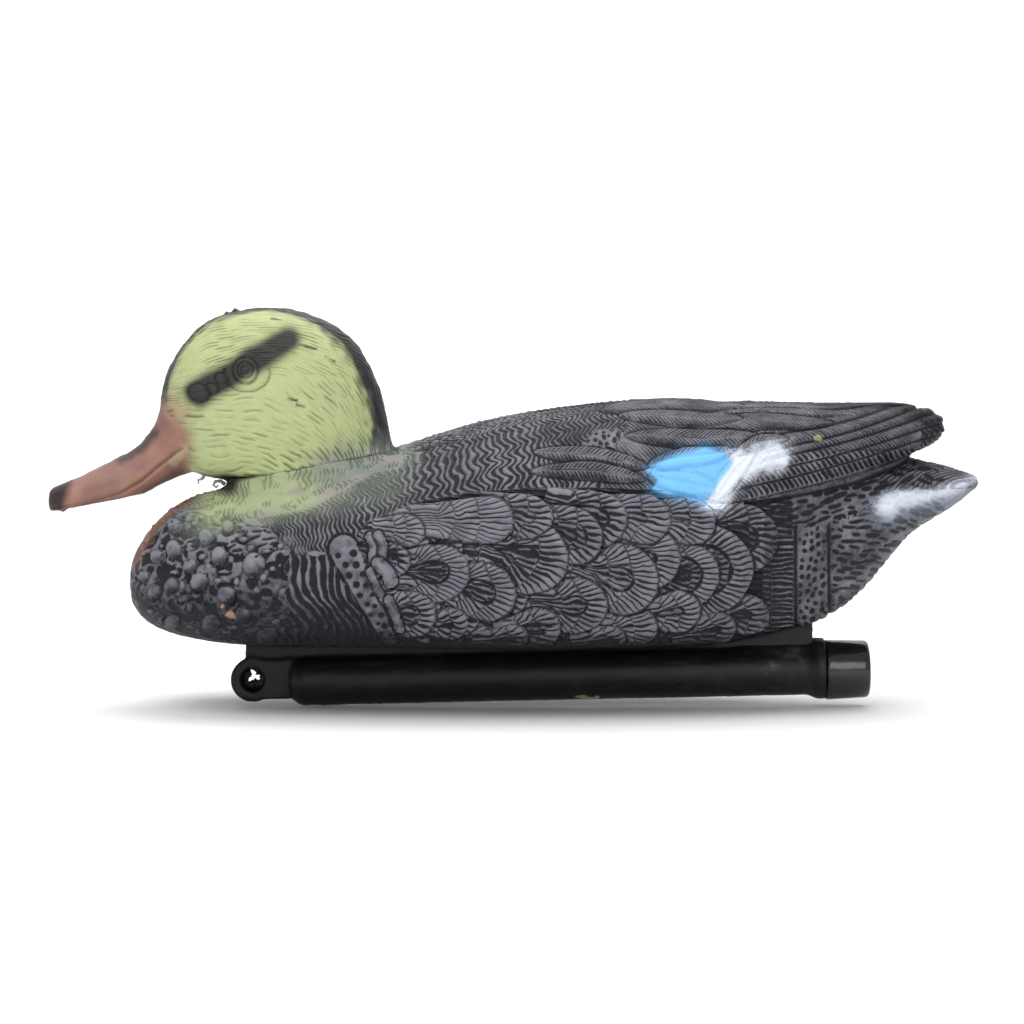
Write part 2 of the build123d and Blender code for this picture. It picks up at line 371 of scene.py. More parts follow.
class Relief:
    """What every formula writes: the relief's height and how its paint breaks up."""

    def __init__(self, count):
        self.height = np.zeros(count)           # displacement, mm
        self.phase = np.zeros(count)            # strokes, counted across them
        self.cut = np.full(count, NO_STROKE)    # half width of a stroke, as a share of its period
        self.pit = np.full(count, NO_PIT)       # distance outside the nearest pit or groove, mm
        self.dry = np.full(count, 0.75)         # how much grey is brushed on the high places
        self.tint = np.zeros((count, 4))        # sprayed colour and its cover

    def copy(self):
        twin = Relief(0)
        for key, value in vars(self).items():
            setattr(twin, key, value.copy())
        return twin

    def take(self, other, here):
        """Takes over another relief's fields at some places."""
        for key, value in vars(other).items():
            where = here if value.ndim == 1 else here[:, None]
            setattr(self, key, np.where(where, value, getattr(self, key)))

    def strokes(self, weight, phase, cut, depth):
        """Lays a field of strokes where weight is over a half."""
        here = weight > 0.5
        self.phase[here] = np.broadcast_to(phase, weight.shape)[here]
        self.cut[here] = (np.broadcast_to(cut, weight.shape) * smooth(0.5, 0.8, weight))[here]
        wave = 0.5 - 0.5 * np.cos(2 * math.pi * phase)
        self.height -= depth * wave * smooth(0.5, 1, weight) * smooth(0, 0.15, cut)

    def mark(self, distance, here=True):
        """Paints the ground dark where distance, in mm, is under zero."""
        self.pit = np.where(here, np.minimum(self.pit, distance), self.pit)

    def groove(self, distance, depth, width):
        """Sinks a groove round a distance of zero, and paints it dark."""
        self.height -= depth * bell(distance, width)
        self.mark(np.abs(distance) - width * 0.6)

    def dent(self, weight, distance, depth):
        """Sinks flat pits where distance is under zero, and paints them dark."""
        self.height -= weight * depth * smooth(0.5, -0.5, distance)
        self.mark(distance, weight > 0.5)

    def wipe(self, on):
        """Takes strokes and pits away again where on is over a half."""
        self.cut = np.where(on > 0.5, NO_STROKE, self.cut)
        self.pit = np.where(on > 0.5, NO_PIT, self.pit)

    def brush(self, share, weight):
        """Sets how much grey is brushed on."""
        self.dry = mix(self.dry, share, weight)

    def spray(self, colour, cover):
        """Sprays a colour over what is there."""
        cover = np.clip(cover, 0, 1)
        old = self.tint[:, 3]
        total = cover + old * (1 - cover)
        share = (cover / np.maximum(total, 1e-6))[:, None]
        self.tint[:, :3] = mix(self.tint[:, :3], np.array(colour), share)
        self.tint[:, 3] = total


# ---------------------------------------------------------------- feathers of the flank

# Each: tip x and z, half width, length, how far its tip points down in degrees, width of its rim
# band, how bold its barbs are, and how dark it is inside.
FLANK = [
    (-36.6, 29.4, 6.4, 20, 4, 7.5, 0.35, 0.2), (-1.4, 34.4, 9.3, 40, 0, 17.0, 0.35, 0.2),
    (14.1, 33.5, 8.8, 30, 14, 6.5, 0.85, 0.4), (-19.2, 12.6, 11.7, 30, 4, 7.4, 0.2, 0.9),
    (-1.1, 2.6, 11.8, 30, 16, 7.6, 0.4, 0.8), (19.6, 16.2, 15.0, 34, 14, 11.0, 1.0, 0.6),
    (-32.4, -3.7, 9.7, 24, 2, 6.0, 0.7, 0.6), (-42.9, 16.3, 6.3, 16, 24, 4.0, 0.8, 0.5),
    (-19.0, -7.0, 6.5, 20, 0, 6.0, 0.9, 0.5), (17.5, -7.9, 8.4, 26, -8, 6.0, 0.8, 0.6),
    (33.3, 24.0, 11.2, 32, 22, 6.0, 0.85, 0.6), (43.4, 31.4, 11.0, 34, 18, 7.0, 1.0, 0.6),
    (61.0, 33.0, 9.9, 34, 10, 8.4, 0.6, 0.4), (79.1, 32.5, 9.7, 30, 6, 9.0, 0.65, 0.4),
    (103.6, 22.4, 14.0, 36, 18, 8.0, 1.0, 0.9), (93.8, 14.0, 18.5, 38, 0, 8.4, 0.6, 0.8),
    (80.5, 11.7, 13.3, 32, 2, 6.5, 0.3, 1.0), (64.8, 16.7, 12.8, 34, 10, 9.0, 0.5, 0.7),
    (55.5, 6.5, 14.2, 34, 18, 9.5, 0.45, 0.6), (56.0, -8.0, 8.4, 26, -6, 9.0, 0.65, 0.4),
    (36.0, -0.7, 11.4, 30, 4, 7.6, 0.65, 0.5), (73.5, -1.5, 8.4, 24, -6, 6.5, 0.6, 0.6),
    (101.0, -3.5, 8.4, 26, -6, 7.0, 0.8, 0.9), (88.0, -9.0, 7.0, 26, -8, 6.0, 0.7, 0.9),
    (5.0, -13.0, 6.0, 22, -4, 5.0, 0.8, 0.7), (44.0, -13.5, 6.0, 22, -6, 5.0, 0.8, 0.7),
    (-46.0, -8.0, 6.0, 18, 10, 4.0, 0.8, 0.7),
]
BARB = 2.4                # spacing of the barbs at a feather's rim, mm


def behind_feathers():
    """Smaller feathers that fill in behind the large ones, in staggered rows."""
    return [
        (-54 + 13.0 * column + 6.5 * (row % 2), 32 - 9.5 * row, 7.6, 24, 6, 5.0, 0.9, 0.8)
        for row in range(6) for column in range(11)
    ]


def feather_place(du, dv, half, length, dip, wobble):
    """For places beside a feather's tip: how far behind it, how far aside, and how deep inside."""
    angle = math.radians(dip)
    back = -(du * math.cos(angle) - dv * math.sin(angle))
    side = du * math.sin(angle) + dv * math.cos(angle) + 0.6 * wobble
    narrow = half * (1 - 0.35 * smooth(half, length, back))
    round_end = half - np.hypot((half - back) * 0.92, side) + 0.3 * wobble
    depth_in = np.where(back < half, round_end, narrow - np.abs(side))
    return back, side, np.where(back > length, -FAR, depth_in)


def flank(relief, p, weight):
    """Overlapping rounded feathers, each on top of those behind it."""
    x, _, z = p.T
    wobble = noise(p, 9, 3) * 0.9 + noise(p, 3.5, 4) * 0.5
    bend = 0.22 * noise(p, 5, 5) + 0.14 * noise(p, 2.2, 6)
    blotch = noise(p, 2.6, 7)
    level, dim = np.full(len(p), -0.55), np.ones(len(p))
    shadow, arcs = np.full(len(p), FAR), np.full(len(p), FAR)
    phase, cut = (z + 0.12 * x) / BARB, np.full(len(p), 0.3)
    order = [f for layer in (behind_feathers(), FLANK) for f in sorted(layer, key=lambda f: -f[0])]
    for k, (tip_x, tip_z, half, length, dip, rim, bold, dark) in enumerate(order):
        q = np.flatnonzero(np.abs(x - tip_x + length / 2) < length + 6)
        back, side, depth_in = feather_place(
            x[q] - tip_x, z[q] - tip_z, half, length, dip, wobble[q])
        on = depth_in > 0
        root = max(1.5 * half, 0.8 * length)
        from_root = np.maximum(root - back, 3.0)
        fan = np.arctan2(side, from_root)
        near_root = np.hypot(from_root, side) / root
        odd = float(hashed(k, 5)[0])
        second = rim + half * 0.34
        count = np.where(depth_in < rim, 1.0, np.where(depth_in < second, 0.8, 0.62))
        count = count * np.where(near_root < 0.3, 0.3, np.where(near_root < 0.6, 0.6, 1.0))
        turn = fan * root / (BARB * (0.85 + 0.4 * bold)) * count + bend[q] + 0.5 * odd
        luck, other = hashed(np.floor(turn), k), hashed(k + 50, np.floor(turn))
        inward = smooth(0.2, rim * (0.35 + 0.5 * luck), depth_in)
        wedge = (0.08 + (0.05 + 0.17 * bold) * (0.4 + luck) * inward) * smooth(-0.1, 0.6, depth_in)
        wedge *= 1 - 0.5 * smooth(rim * 0.75, rim, depth_in) * (other < 0.5)
        inner = smooth(rim + 0.2, rim + 1.2, depth_in)
        wedge = np.maximum(wedge, inner * (0.14 + 0.12 * other + 0.1 * dark + 0.17 * blotch[q]))
        rise = 1.2 * smooth(0.0, 1.0, depth_in) - 0.6 * smooth(2.0, rim + 2, depth_in)
        rise -= 0.35 * smooth(rim - 0.5, rim + 0.5, depth_in) + 0.3 * smooth(half, length, back)
        rings = np.abs(depth_in - rim) - (0.1 + 0.5 * dark)
        rings = np.minimum(rings, np.abs(depth_in - second) - 0.1 - 0.35 * dark)
        brick = np.abs(np.mod((depth_in - rim) / 2.8 + 0.6 * other, 1) - 0.5) * 2.8 - 0.28
        rings = np.minimum(rings, np.where(depth_in > second, brick, FAR))
        rings = np.where(np.abs(fan) > 0.8 + 0.5 * dark, FAR, rings + 0.5 * blotch[q])
        faded = (0.25 + 0.75 * dark) * smooth(rim - 1, rim + half * 0.5, depth_in)
        for field, values in (
            (level, rise), (phase, turn), (cut, wedge), (arcs, rings), (dim, faded),
        ):
            field[q[on]] = values[on]
        shadow[q[on]] = FAR
        beside = ~on & (depth_in > -4)
        shadow[q[beside]] = np.minimum(shadow[q[beside]], -depth_in[beside])
    level -= 0.35 * bell(shadow, 0.9)
    relief.height += weight * (level - 0.35 * smooth(0.7, 0.0, arcs))
    relief.strokes(weight, phase, cut, 0.4)
    # painted shadow: a ragged dark line on each feather just beyond the edges of the feathers over it,
    # joined with the ring grooves
    rings_and_painted_shadow = np.minimum(arcs, shadow - 0.45 - 0.7 * blotch - 0.5 * wobble)
    relief.mark(rings_and_painted_shadow, weight > 0.5)
    worn = 0.58 + 0.4 * smooth(-0.5, 0.7, level) - 0.5 * dim - 0.15 * smooth(6, -14, z)
    relief.brush(worn - 0.28 * smooth(60, 100, x), weight)


# ---------------------------------------------------------------- the rest of the body


def ripples(relief, p, weight):
    """Wavy ripples across the neck and the back, in rows, and a small dotted patch among them."""
    x, y, z = p.T
    v = around(x, y, z)
    bend = noise(p, 14, 11) * 2.2 + noise(p, 5, 12) * 0.9 + noise(p, 2.6, 17) * 0.35
    pitch = 9.5
    row = (v - 0.22 * x + 2.6 * noise(p, 16, 14)) / pitch
    swing = 1.25 + 0.9 * noise(p, 18, 18)
    lean = swing * (triangle(row + 0.12 * noise(p, 9, 15)) + 0.55 * np.sin(2 * math.pi * row))
    phase = (x + lean + 0.12 * v + bend) / np.interp(x, [-110, -40, 30], [2.2, 2.9, 2.5])
    relief.strokes(weight, phase, 0.25 + 0.14 * noise(p, 4, 13), 0.5)
    gap = np.abs(row - np.round(row)) * pitch
    line = smooth(0.0, 0.5, noise(p, 12, 16))
    relief.height -= weight * 0.3 * line * bell(gap, 0.6)
    relief.brush(0.74 + 0.25 * noise(p, 18, 28), weight)
    dots = dashes(
        x, z + 0.5 * noise(p, 5, 19), size=(0.4, 1.9), pitch=(2.9, 2.2), slope=10, seed=5)
    leaf = inside(x, z, [(27, 64), (32, 69.4), (40, 70), (48, 66), (46, 63.4)])
    patch = weight * smooth(-0.6, 0.6, leaf)
    relief.cut = mix(relief.cut, NO_STROKE, patch)
    relief.height = mix(relief.height, -0.4 * smooth(0.5, -0.4, dots), patch)
    relief.mark(dots, patch > 0.5)


# The large pebbles of the breast: x, z and radius.
PEBBLES = [
    (-123.6, 27.1, 3.4), (-136.4, 21.7, 3.3), (-118.2, 19.7, 3.7), (-104.4, 16.3, 4.8),
    (-126.3, 8.9, 3.4), (-137.4, 7.5, 3.3), (-115.5, 3.8, 3.6), (-143.2, 19.0, 2.8),
    (-98.6, -12.8, 4.0), (-121.6, -8.0, 3.5), (-136.8, -8.0, 3.0), (-144.2, 4.1, 2.8),
    (-118.2, 34.2, 2.4), (-135.8, 31.1, 3.0), (-114.8, 31.0, 2.4), (-149.0, 10.5, 2.3),
    (-109.0, -4.5, 3.0), (-130.0, 15.5, 2.4), (-147.0, 26.0, 2.2), (-131.0, -2.0, 2.6),
]


def pebbles(relief, p, weight):
    """Round smooth pebbles in a rough ground, on the breast."""
    x, y, z = p.T
    v = around(x, y, z)
    rough = noise(p, 3.4, 21) * 0.5 + noise(p, 1.8, 22) * 0.35
    best = np.full(len(p), FAR)
    pitch = 5.6
    side = np.where(y < 0, 0, 1)
    for row in (-1, 0, 1):
        r = np.floor(v / pitch) + row
        shift = 0.5 * np.mod(r, 2)
        for column in (-1, 0, 1):
            c = np.floor(x / pitch - shift) + column
            jx, jv = hashed(r, c, side), hashed(c, r, side + 7)
            size = hashed(r + 40, c, side)
            cx = (c + shift + 0.5 + 0.6 * (jx - 0.5)) * pitch
            cv = (r + 0.5 + 0.6 * (jv - 0.5)) * pitch
            radius = np.where(size < 0.55, -1.0, 0.3 + 1.8 * size)
            across, up = (x - cx) * (0.8 + 0.5 * jx), (v - cv) * (1.25 - 0.5 * jx)
            best = np.minimum(best, np.hypot(across, up) - radius + 0.7 * rough)
    tone_and_painted_shade = 0.15 * noise(p, 5, 24)
    dent = 0.8 * noise(p, 5, 29)
    large = np.zeros(len(p), bool)
    for cx, cz, radius in PEBBLES:
        distance = np.hypot((x - cx) * 1.05, z - cz) - radius + 0.7 * rough + dent
        best = np.where(distance < 1.2, distance, best)
        large |= distance < 0.6
        # painted shade: large pebbles get less grey on their lower-right side, as if lit from the upper
        # left; the noise in this term is random tone
        shaded_side = ((x - cx) * 0.5 - (z - cz) * 0.85) / radius
        tone_and_painted_shade = np.where(distance < 0.6, -0.65 * smooth(-0.4, 1.0, shaded_side) + 0.4 * rough, tone_and_painted_shade)
    dome = smooth(0.4, -1.0, best) * 0.7 + 0.4 * smooth(0, 3.5, -best)
    vein = np.abs(noise(p, 5.0, 25) + 0.5 * noise(p, 2.3, 26))
    ground = -0.5 - 0.7 * smooth(0.05, 0.3, vein) + 0.3 * rough
    lower = 1 - 0.6 * smooth(4, -10, z)
    lower *= 1 - 0.75 * smooth(34, 22, np.abs(y)) * smooth(-112, -124, x)
    raised = mix(ground, dome - 0.3, smooth(0.6, 0, best))
    relief.height += weight * lower * np.where(best < 0.6, raised, ground)
    crack = 0.6 - 4.0 * np.maximum(vein - 0.09 - 0.1 * rough, 0)
    ring = np.abs(best - 0.3) - 0.25 + 0.5 * rough
    surface = np.where(best < 0.8, np.minimum(ring, 0.9 - 1.5 * rough), crack)
    surface = np.where(large & (best < -0.1), 2.0 - 3.5 * smooth(0.2, 0.6, rough), surface)
    relief.mark(surface, weight > 0.5)
    ribs = weight * smooth(-124, -118, x) * smooth(19, 23, z + 3 * rough) * smooth(1.0, 2.0, best)
    bars = dashes(
        x, z + 0.8 * noise(p, 7, 27), size=(5.0, 1.1), pitch=(6.5, 2.4), slope=4, seed=9)
    relief.pit = np.where(ribs > 0.5, bars, relief.pit)
    relief.height += ribs * (0.3 - ground - 0.4 * smooth(0.5, -0.5, bars))
    low = smooth(14, -6, z) * 0.25
    relief.brush(np.where(best < 0.2, 0.85 + tone_and_painted_shade - low, 0.66 - low), weight)
    relief.brush(0.85, ribs)


def dashes(x, z, size, pitch, slope, seed):
    """Distance to the nearest of a staggered field of short dashes with narrow ends.

    size is a dash's length and width, pitch the spacing along and across, slope in degrees.
    """
    (length, width), (pitch_a, pitch_b) = size, pitch
    angle = math.radians(slope)
    a = x * math.cos(angle) + z * math.sin(angle)
    b = -x * math.sin(angle) + z * math.cos(angle)
    best = np.full(len(x), FAR)
    for row in (-1, 0, 1):
        r = np.round(b / pitch_b) + row
        shift = 0.5 * np.mod(r, 2) + 0.35 * hashed(r, seed)
        for column in (0, 1):
            c = np.floor(a / pitch_a - shift) + column
            ja, jb, jc = hashed(r, c, seed), hashed(c, r, seed + 3), hashed(r + 30, c, seed)
            da = a - (c + shift + 0.4 * (ja - 0.5)) * pitch_a
            db = b - (r + 0.55 * (jb - 0.5)) * pitch_b - 0.5 * (jc - 0.5) * da
            reach = length * (0.4 + 0.9 * jc) / 2
            narrow = 1 - 0.5 * np.clip(np.abs(da) / (reach + 0.6), 0, 1) ** 2
            thick = width * (0.6 + 0.7 * ja) * narrow
            best = np.minimum(best, np.hypot(np.maximum(np.abs(da) - reach, 0), db) - thick / 2)
    return best


# The long quills of the folded wing, lowest first: x and z of both ends.
QUILLS = [
    ((86.2, 40.4), (156.0, 57.2)), ((90.5, 46.6), (160.0, 64.0)), ((95.0, 52.2), (163.0, 69.0)),
    ((104.0, 58.6), (161.0, 73.0)), ((112.0, 63.6), (156.0, 75.6)), ((110.0, 68.6), (150.0, 77.6)),
]


def quill_height(k, x):
    (x0, z0), (x1, z1) = QUILLS[k]
    sag = 1.2 * np.sin(math.pi * np.clip((x - x0) / (x1 - x0), 0, 1))
    return z0 + (z1 - z0) * (x - x0) / (x1 - x0) - sag


def bevel_height(x):
    """Lower edge of the wing's smooth bevel."""
    return np.interp(x, [84, 96, 116, 135, 152, 158], [40.4, 41.2, 43.8, 47.8, 54.0, 57.5])


def wing(relief, p, weight):
    """Long feathers in strips that run to the wing's tip, with slanted barbs."""
    x, y, z = p.T
    bend = 0.35 * noise(p, 7, 31) + 0.15 * noise(p, 3, 32)
    phase, cut = x / 2.3, np.full(len(p), NO_STROKE)
    rise, gap = np.full(len(p), 0.3), np.full(len(p), FAR)
    for k in range(len(QUILLS)):
        low = quill_height(k, x)
        high = quill_height(k + 1, x) if k + 1 < len(QUILLS) else low + 5.0
        height = np.maximum(high - low, 0.8)
        inner = (z - low) / height
        on = (inner > 0) & (inner <= 1)
        turn = (x + (0.45 + 0.12 * k) * (z - low) + 1.3 * k + bend) / (2.0 + 0.08 * k)
        luck = hashed(np.floor(turn), k + 20)
        length = smooth(0.1, 0.3, inner) * smooth(1.0, 0.7 + 0.15 * luck, inner)
        phase[on] = turn[on]
        cut[on] = ((0.2 + 0.16 * luck) * length)[on]
        rise[on] = (0.65 * smooth(0, 0.3, inner) - 0.55 * smooth(0.35, 1, inner))[on]
        gap = np.minimum(gap, np.abs(z - low))
    above = z - quill_height(len(QUILLS) - 1, x) > 5.0
    phase = np.where(above, (x + 0.3 * around(x, y, z) + bend) / 2.4, phase)
    cut = np.where(above, 0.16 * smooth(-0.1, 0.5, noise(p, 8, 33)), cut)
    relief.strokes(weight, phase, cut, 0.3)
    relief.height += weight * (rise - 0.4 * bell(gap, 0.6))
    relief.mark(gap - 0.42, weight > 0.5)
    relief.brush(0.9 - 0.35 * smooth(110, 160, x) + 0.2 * noise(p, 12, 34), weight)


# The wing's inner feathers, the covered ones first: points of the shaft in the side view, half
# width on the skin, and how far the barbs lean.
COVERTS = [
    ([(84, 76.0), (120, 76.5), (160, 77.4)], 10.0, 0.9),
    ([(84, 73), (112, 72.8), (136, 71.6)], 6.0, 0.9),
    ([(7, 59.5), (30, 57.5), (53, 53.4)], 4.6, 0.7), ([(6, 52.5), (30, 52.4), (52, 49)], 4.2, 0.7),
    ([(60, 66.5), (98, 68.8), (127, 67.0)], 7.6, 1.0),
    ([(44, 64.5), (70, 63.6), (98, 62.2)], 5.6, 1.1),
    ([(53, 50), (66, 48), (82, 44.5)], 5.0, 1.2), ([(53, 54.0), (68, 57), (87, 58.4)], 5.0, 0.9),
    ([(34, 74.0), (60, 77.2), (91, 76.4)], 11.0, 0.8), ([(41, 72.0), (66, 71.0), (91, 69.8)], 6.4, 0.8),
    ([(80, 41), (87, 51), (96, 57.6)], 4.0, 0.9), ([(88, 57.4), (98, 60.4), (109, 61)], 4.0, 0.9),
]


def coverts(relief, p, weight, reach):
    """The wing's inner feathers: long lenses with slanted barbs, each over those before it."""
    x, y, z = p.T
    v = around(x, y, z)
    bend = 0.3 * noise(p, 6, 41) + 0.15 * noise(p, 2.5, 42)
    faint = 0.1 + 0.1 * noise(p, 6, 43)
    relief.strokes(weight, (x + 0.8 * v + bend) / 1.8, faint, 0.15)
    relief.brush(0.58, weight)
    for k, (points, half, lean) in enumerate(COVERTS):
        shaft = [(sx, around_at(sx, sz)) for sx, sz in points]
        share, beside, length = along_line(x, v, shaft)
        width = half * np.clip(4 * share * (1 - share), 0, 1) ** 0.6
        depth_in = width - np.abs(beside) + 0.3 * bend
        on = (depth_in > 0) & (reach > 0.5)
        near = (depth_in > -1.5) & (reach > 0.5)
        turn = (share * length - lean * np.abs(beside) + 1.1 * k) / 1.75 + bend
        luck = hashed(np.floor(turn), k + 70)
        barb = (0.1 + 0.14 * luck) * smooth(0.3, 1.2, np.abs(beside)) * smooth(0.2, 1.2, depth_in)
        rise = 0.55 * smooth(0.0, 1.4, depth_in) - 0.25 * bell(beside, 0.6)
        shade = 0.7 + 0.3 * noise(p, 9, 45) - 0.3 * smooth(0.0, -half, beside)
        for field, values in (
            ("height", rise), ("phase", turn), ("cut", barb), ("pit", NO_PIT), ("dry", shade),
        ):
            setattr(relief, field, np.where(on, values, getattr(relief, field)))
        edge = np.abs(depth_in + 0.25) - 0.3 + 0.5 * bend
        quill = np.where(on, np.abs(beside) - 0.1 + 0.6 * bend, FAR)
        relief.mark(np.minimum(edge, quill), near)
        relief.height -= np.where(near, 0.35 * bell(depth_in + 0.25, 0.6), 0)


def rump(relief, p, weight):
    """Dashes behind the flank, the upright dotted band, and the tail."""
    x, y, z = p.T
    soft = noise(p, 6, 51)
    upper = inside(
        x, z, [(92, 41), (160, 58), (160, 46), (150, 44), (138, 36), (126, 32), (96, 29)])
    field = dashes(x, z + soft * 0.8, size=(4.6, 1.6), pitch=(5.6, 2.5), slope=14, seed=1)
    relief.dent(weight * smooth(-0.5, 1.0, upper), field, 0.45)
    band = inside(x, z, [(113.4, 31), (124.2, 33), (125, 0), (125, -12), (113.4, -14)])
    band_on = weight * smooth(-0.6, 0.6, band)
    relief.height += 0.5 * band_on
    dots = dashes(z + soft * 0.6, x, size=(1.2, 1.95), pitch=(3.5, 2.7), slope=4, seed=2)
    relief.height -= band_on * 0.45 * smooth(0.5, -0.5, dots)
    relief.mark(dots + 0.15, band_on > 0.5)
    for edge in (112.2, 125.4):
        line, _ = segment_distance(x, z, (edge, 31), (edge, -12))
        relief.height -= weight * 0.7 * bell(line, 0.8)
        relief.mark(line - 0.65, weight * smooth(2.5, 1.5, line) > 0.4)
    behind = smooth(125.8, 127, x) * smooth(1.0, -1.0, upper) * smooth(178, 165, x)
    sag = 0.8 * soft + 0.004 * (x - 126) ** 2
    field = dashes(x, z + sag, size=(4.4, 1.5), pitch=(5.8, 2.7), slope=-4, seed=3)
    relief.dent(weight * behind, field, 0.4)
    ahead = weight * smooth(112, 111, x) * smooth(101, 104, x) * smooth(29, 26, z)
    relief.strokes(ahead, z / 2.1 + 0.5 * soft, 0.34, 0.4)
    relief.brush(0.5 + 0.25 * noise(p, 9, 52), weight)
    relief.brush(0.8, ahead * smooth(103, 108, x + 2 * soft))
    tail = weight * smooth(143, 147, x) * smooth(43.5, 46, z)
    relief.strokes(tail, (x + 0.8 * np.abs(y) + soft) / 1.9, 0.17, 0.18)


def waves(relief, p, weight):
    """Upright wavy ridges between the breast and the flank."""
    x, _, z = p.T
    sway = 1.7 * np.sin(z / 4.2 + 0.9 * noise(p, 9, 61))
    sway = sway + 2.4 * noise(p, 11, 62) + 0.6 * noise(p, 4, 64)
    phase = (x + sway - 0.0075 * (z - 26) ** 2 + 0.05 * z) / 3.5
    relief.strokes(weight, phase, 0.3 + 0.14 * noise(p, 5, 63), 0.75)
    scratches = dashes(x + 0.8 * z, z, size=(4.0, 0.8), pitch=(4.6, 1.9), slope=60, seed=8)
    foot = weight * smooth(1, -6, z + 3 * noise(p, 6, 65))
    relief.mark(0.6 - np.abs(scratches), foot > 0.5)
    relief.brush(0.95 - 0.5 * smooth(6, -8, z), weight)


# The scrolls behind the pitted leaf: points of the middle line, and half width.
SCROLLS = [
    ([(-57.5, 27), (-56, 24), (-56.5, 19)], 1.9), ([(-54.5, 28), (-52.5, 24), (-52.8, 20)], 1.5),
    ([(-54.5, 17), (-51, 14), (-49.5, 10)], 2.3), ([(-58, 14), (-55.5, 8), (-52, 2)], 1.2),
    ([(-50.5, 3), (-47.5, -4), (-46, -9)], 1.4),
]


def pitted_band(relief, p):
    """The slanted leaf with two rows of pits, and the scrolls behind it."""
    x, _, z = p.T
    start, end = (-68.5, 22.5), (-50.5, -13.5)
    distance, t = segment_distance(x, z, start, end)
    leaf = mix(5.6, 2.6, t) - distance
    on = smooth(-0.7, 0.7, leaf)
    lumps = noise(p, 3.2, 121)
    relief.height = mix(relief.height, 0.55 + 0.3 * lumps, on)
    relief.wipe(on)
    relief.mark(np.where(leaf > -3, np.abs(leaf + 0.8) - 0.5 + 0.5 * lumps, NO_PIT))
    relief.height -= 0.45 * bell(leaf + 0.8, 0.7)
    pairs = 9
    for k in range(pairs):
        for side in (-1, 1):
            share = (k + 0.5 + 0.22 * side) / pairs
            cx, cz = mix(start[0], end[0], share), mix(start[1], end[1], share)
            gap = side * mix(2.6, 1.0, share) + 0.5 * math.sin(3.1 * k + side)
            px, pz = cx + gap * 0.89, cz + gap * 0.45
            radius = 1.35 - 0.5 * share + 0.2 * math.sin(5.3 * k + 2 * side)
            dot = np.hypot(x - px, z - pz) - radius
            relief.height -= 0.55 * smooth(0.4, -0.4, dot)
            relief.mark(dot)
    # painted shade: less grey is brushed towards the leaf's lower end
    relief.brush(0.72 + 0.35 * lumps - 0.2 * t, on)
    for points, half in SCROLLS:
        lobe = half - line_distance(x, z, points)
        on = smooth(-0.6, 0.5, lobe)
        relief.height = mix(relief.height, 0.9 + 0.25 * lumps, on)
        relief.wipe(on)
        relief.mark(np.abs(lobe + 0.6) - 0.5, lobe < 0)
        relief.brush(0.55 + 0.4 * smooth(0.5, 1.8, lobe) + 0.3 * lumps, on)


# ---------------------------------------------------------------- the head

EYE = (-107.4, 92.4)
KNOBS = [(-126.0, 83.5, 3.4), (-120.8, 85.2, 2.0), (-117.2, 89.3, 1.9)]     # x, z and radius
# Nicks in the head's paint, as lines.
NICKS = [
    [(-86, 102.9), (-79.2, 100.8)], [(-90.2, 81.2), (-87, 80.7)], [(-87, 78.9), (-84, 78.1)],
    [(-97, 112.6), (-92.6, 112)], [(-75.4, 97.6), (-71.8, 95.8)],
]
# Burrs on the parting line: x, z, radius and height.
BURRS = [(-111.3, 115.4, 1.2, 1.6), (-114.8, 114.2, 0.8, 1.0), (-50.6, 59.0, 0.9, 1.0)]
# Curls of flash under the chin, from root to end.
CURLS = [
    [(-123.8, 50.6), (-124.6, 48.6), (-126.4, 47.9), (-126.2, 46.4)],
    [(-115.6, 46.2), (-117.6, 47.6), (-119.6, 47.4), (-120.4, 46), (-119.2, 45), (-118.4, 45.9)],
]
MOUTH_LINE = [(-184, 37.2), (-170, 39.3), (-157.6, 42.6), (-149, 47.5), (-141.9, 53.7), (-133, 60.5)]
BILL_FACE = [(-143.5, 82), (-138, 74), (-131.5, 68), (-130.5, 60), (-131, 52), (-128, 44)]


def bill_side(x, z):
    """Distance in front of the line where the bill meets the face, mm."""
    edge = np.interp(z, *np.array(BILL_FACE[::-1]).T[::-1])
    return line_distance(x, z, BILL_FACE) * np.sign(edge - x)


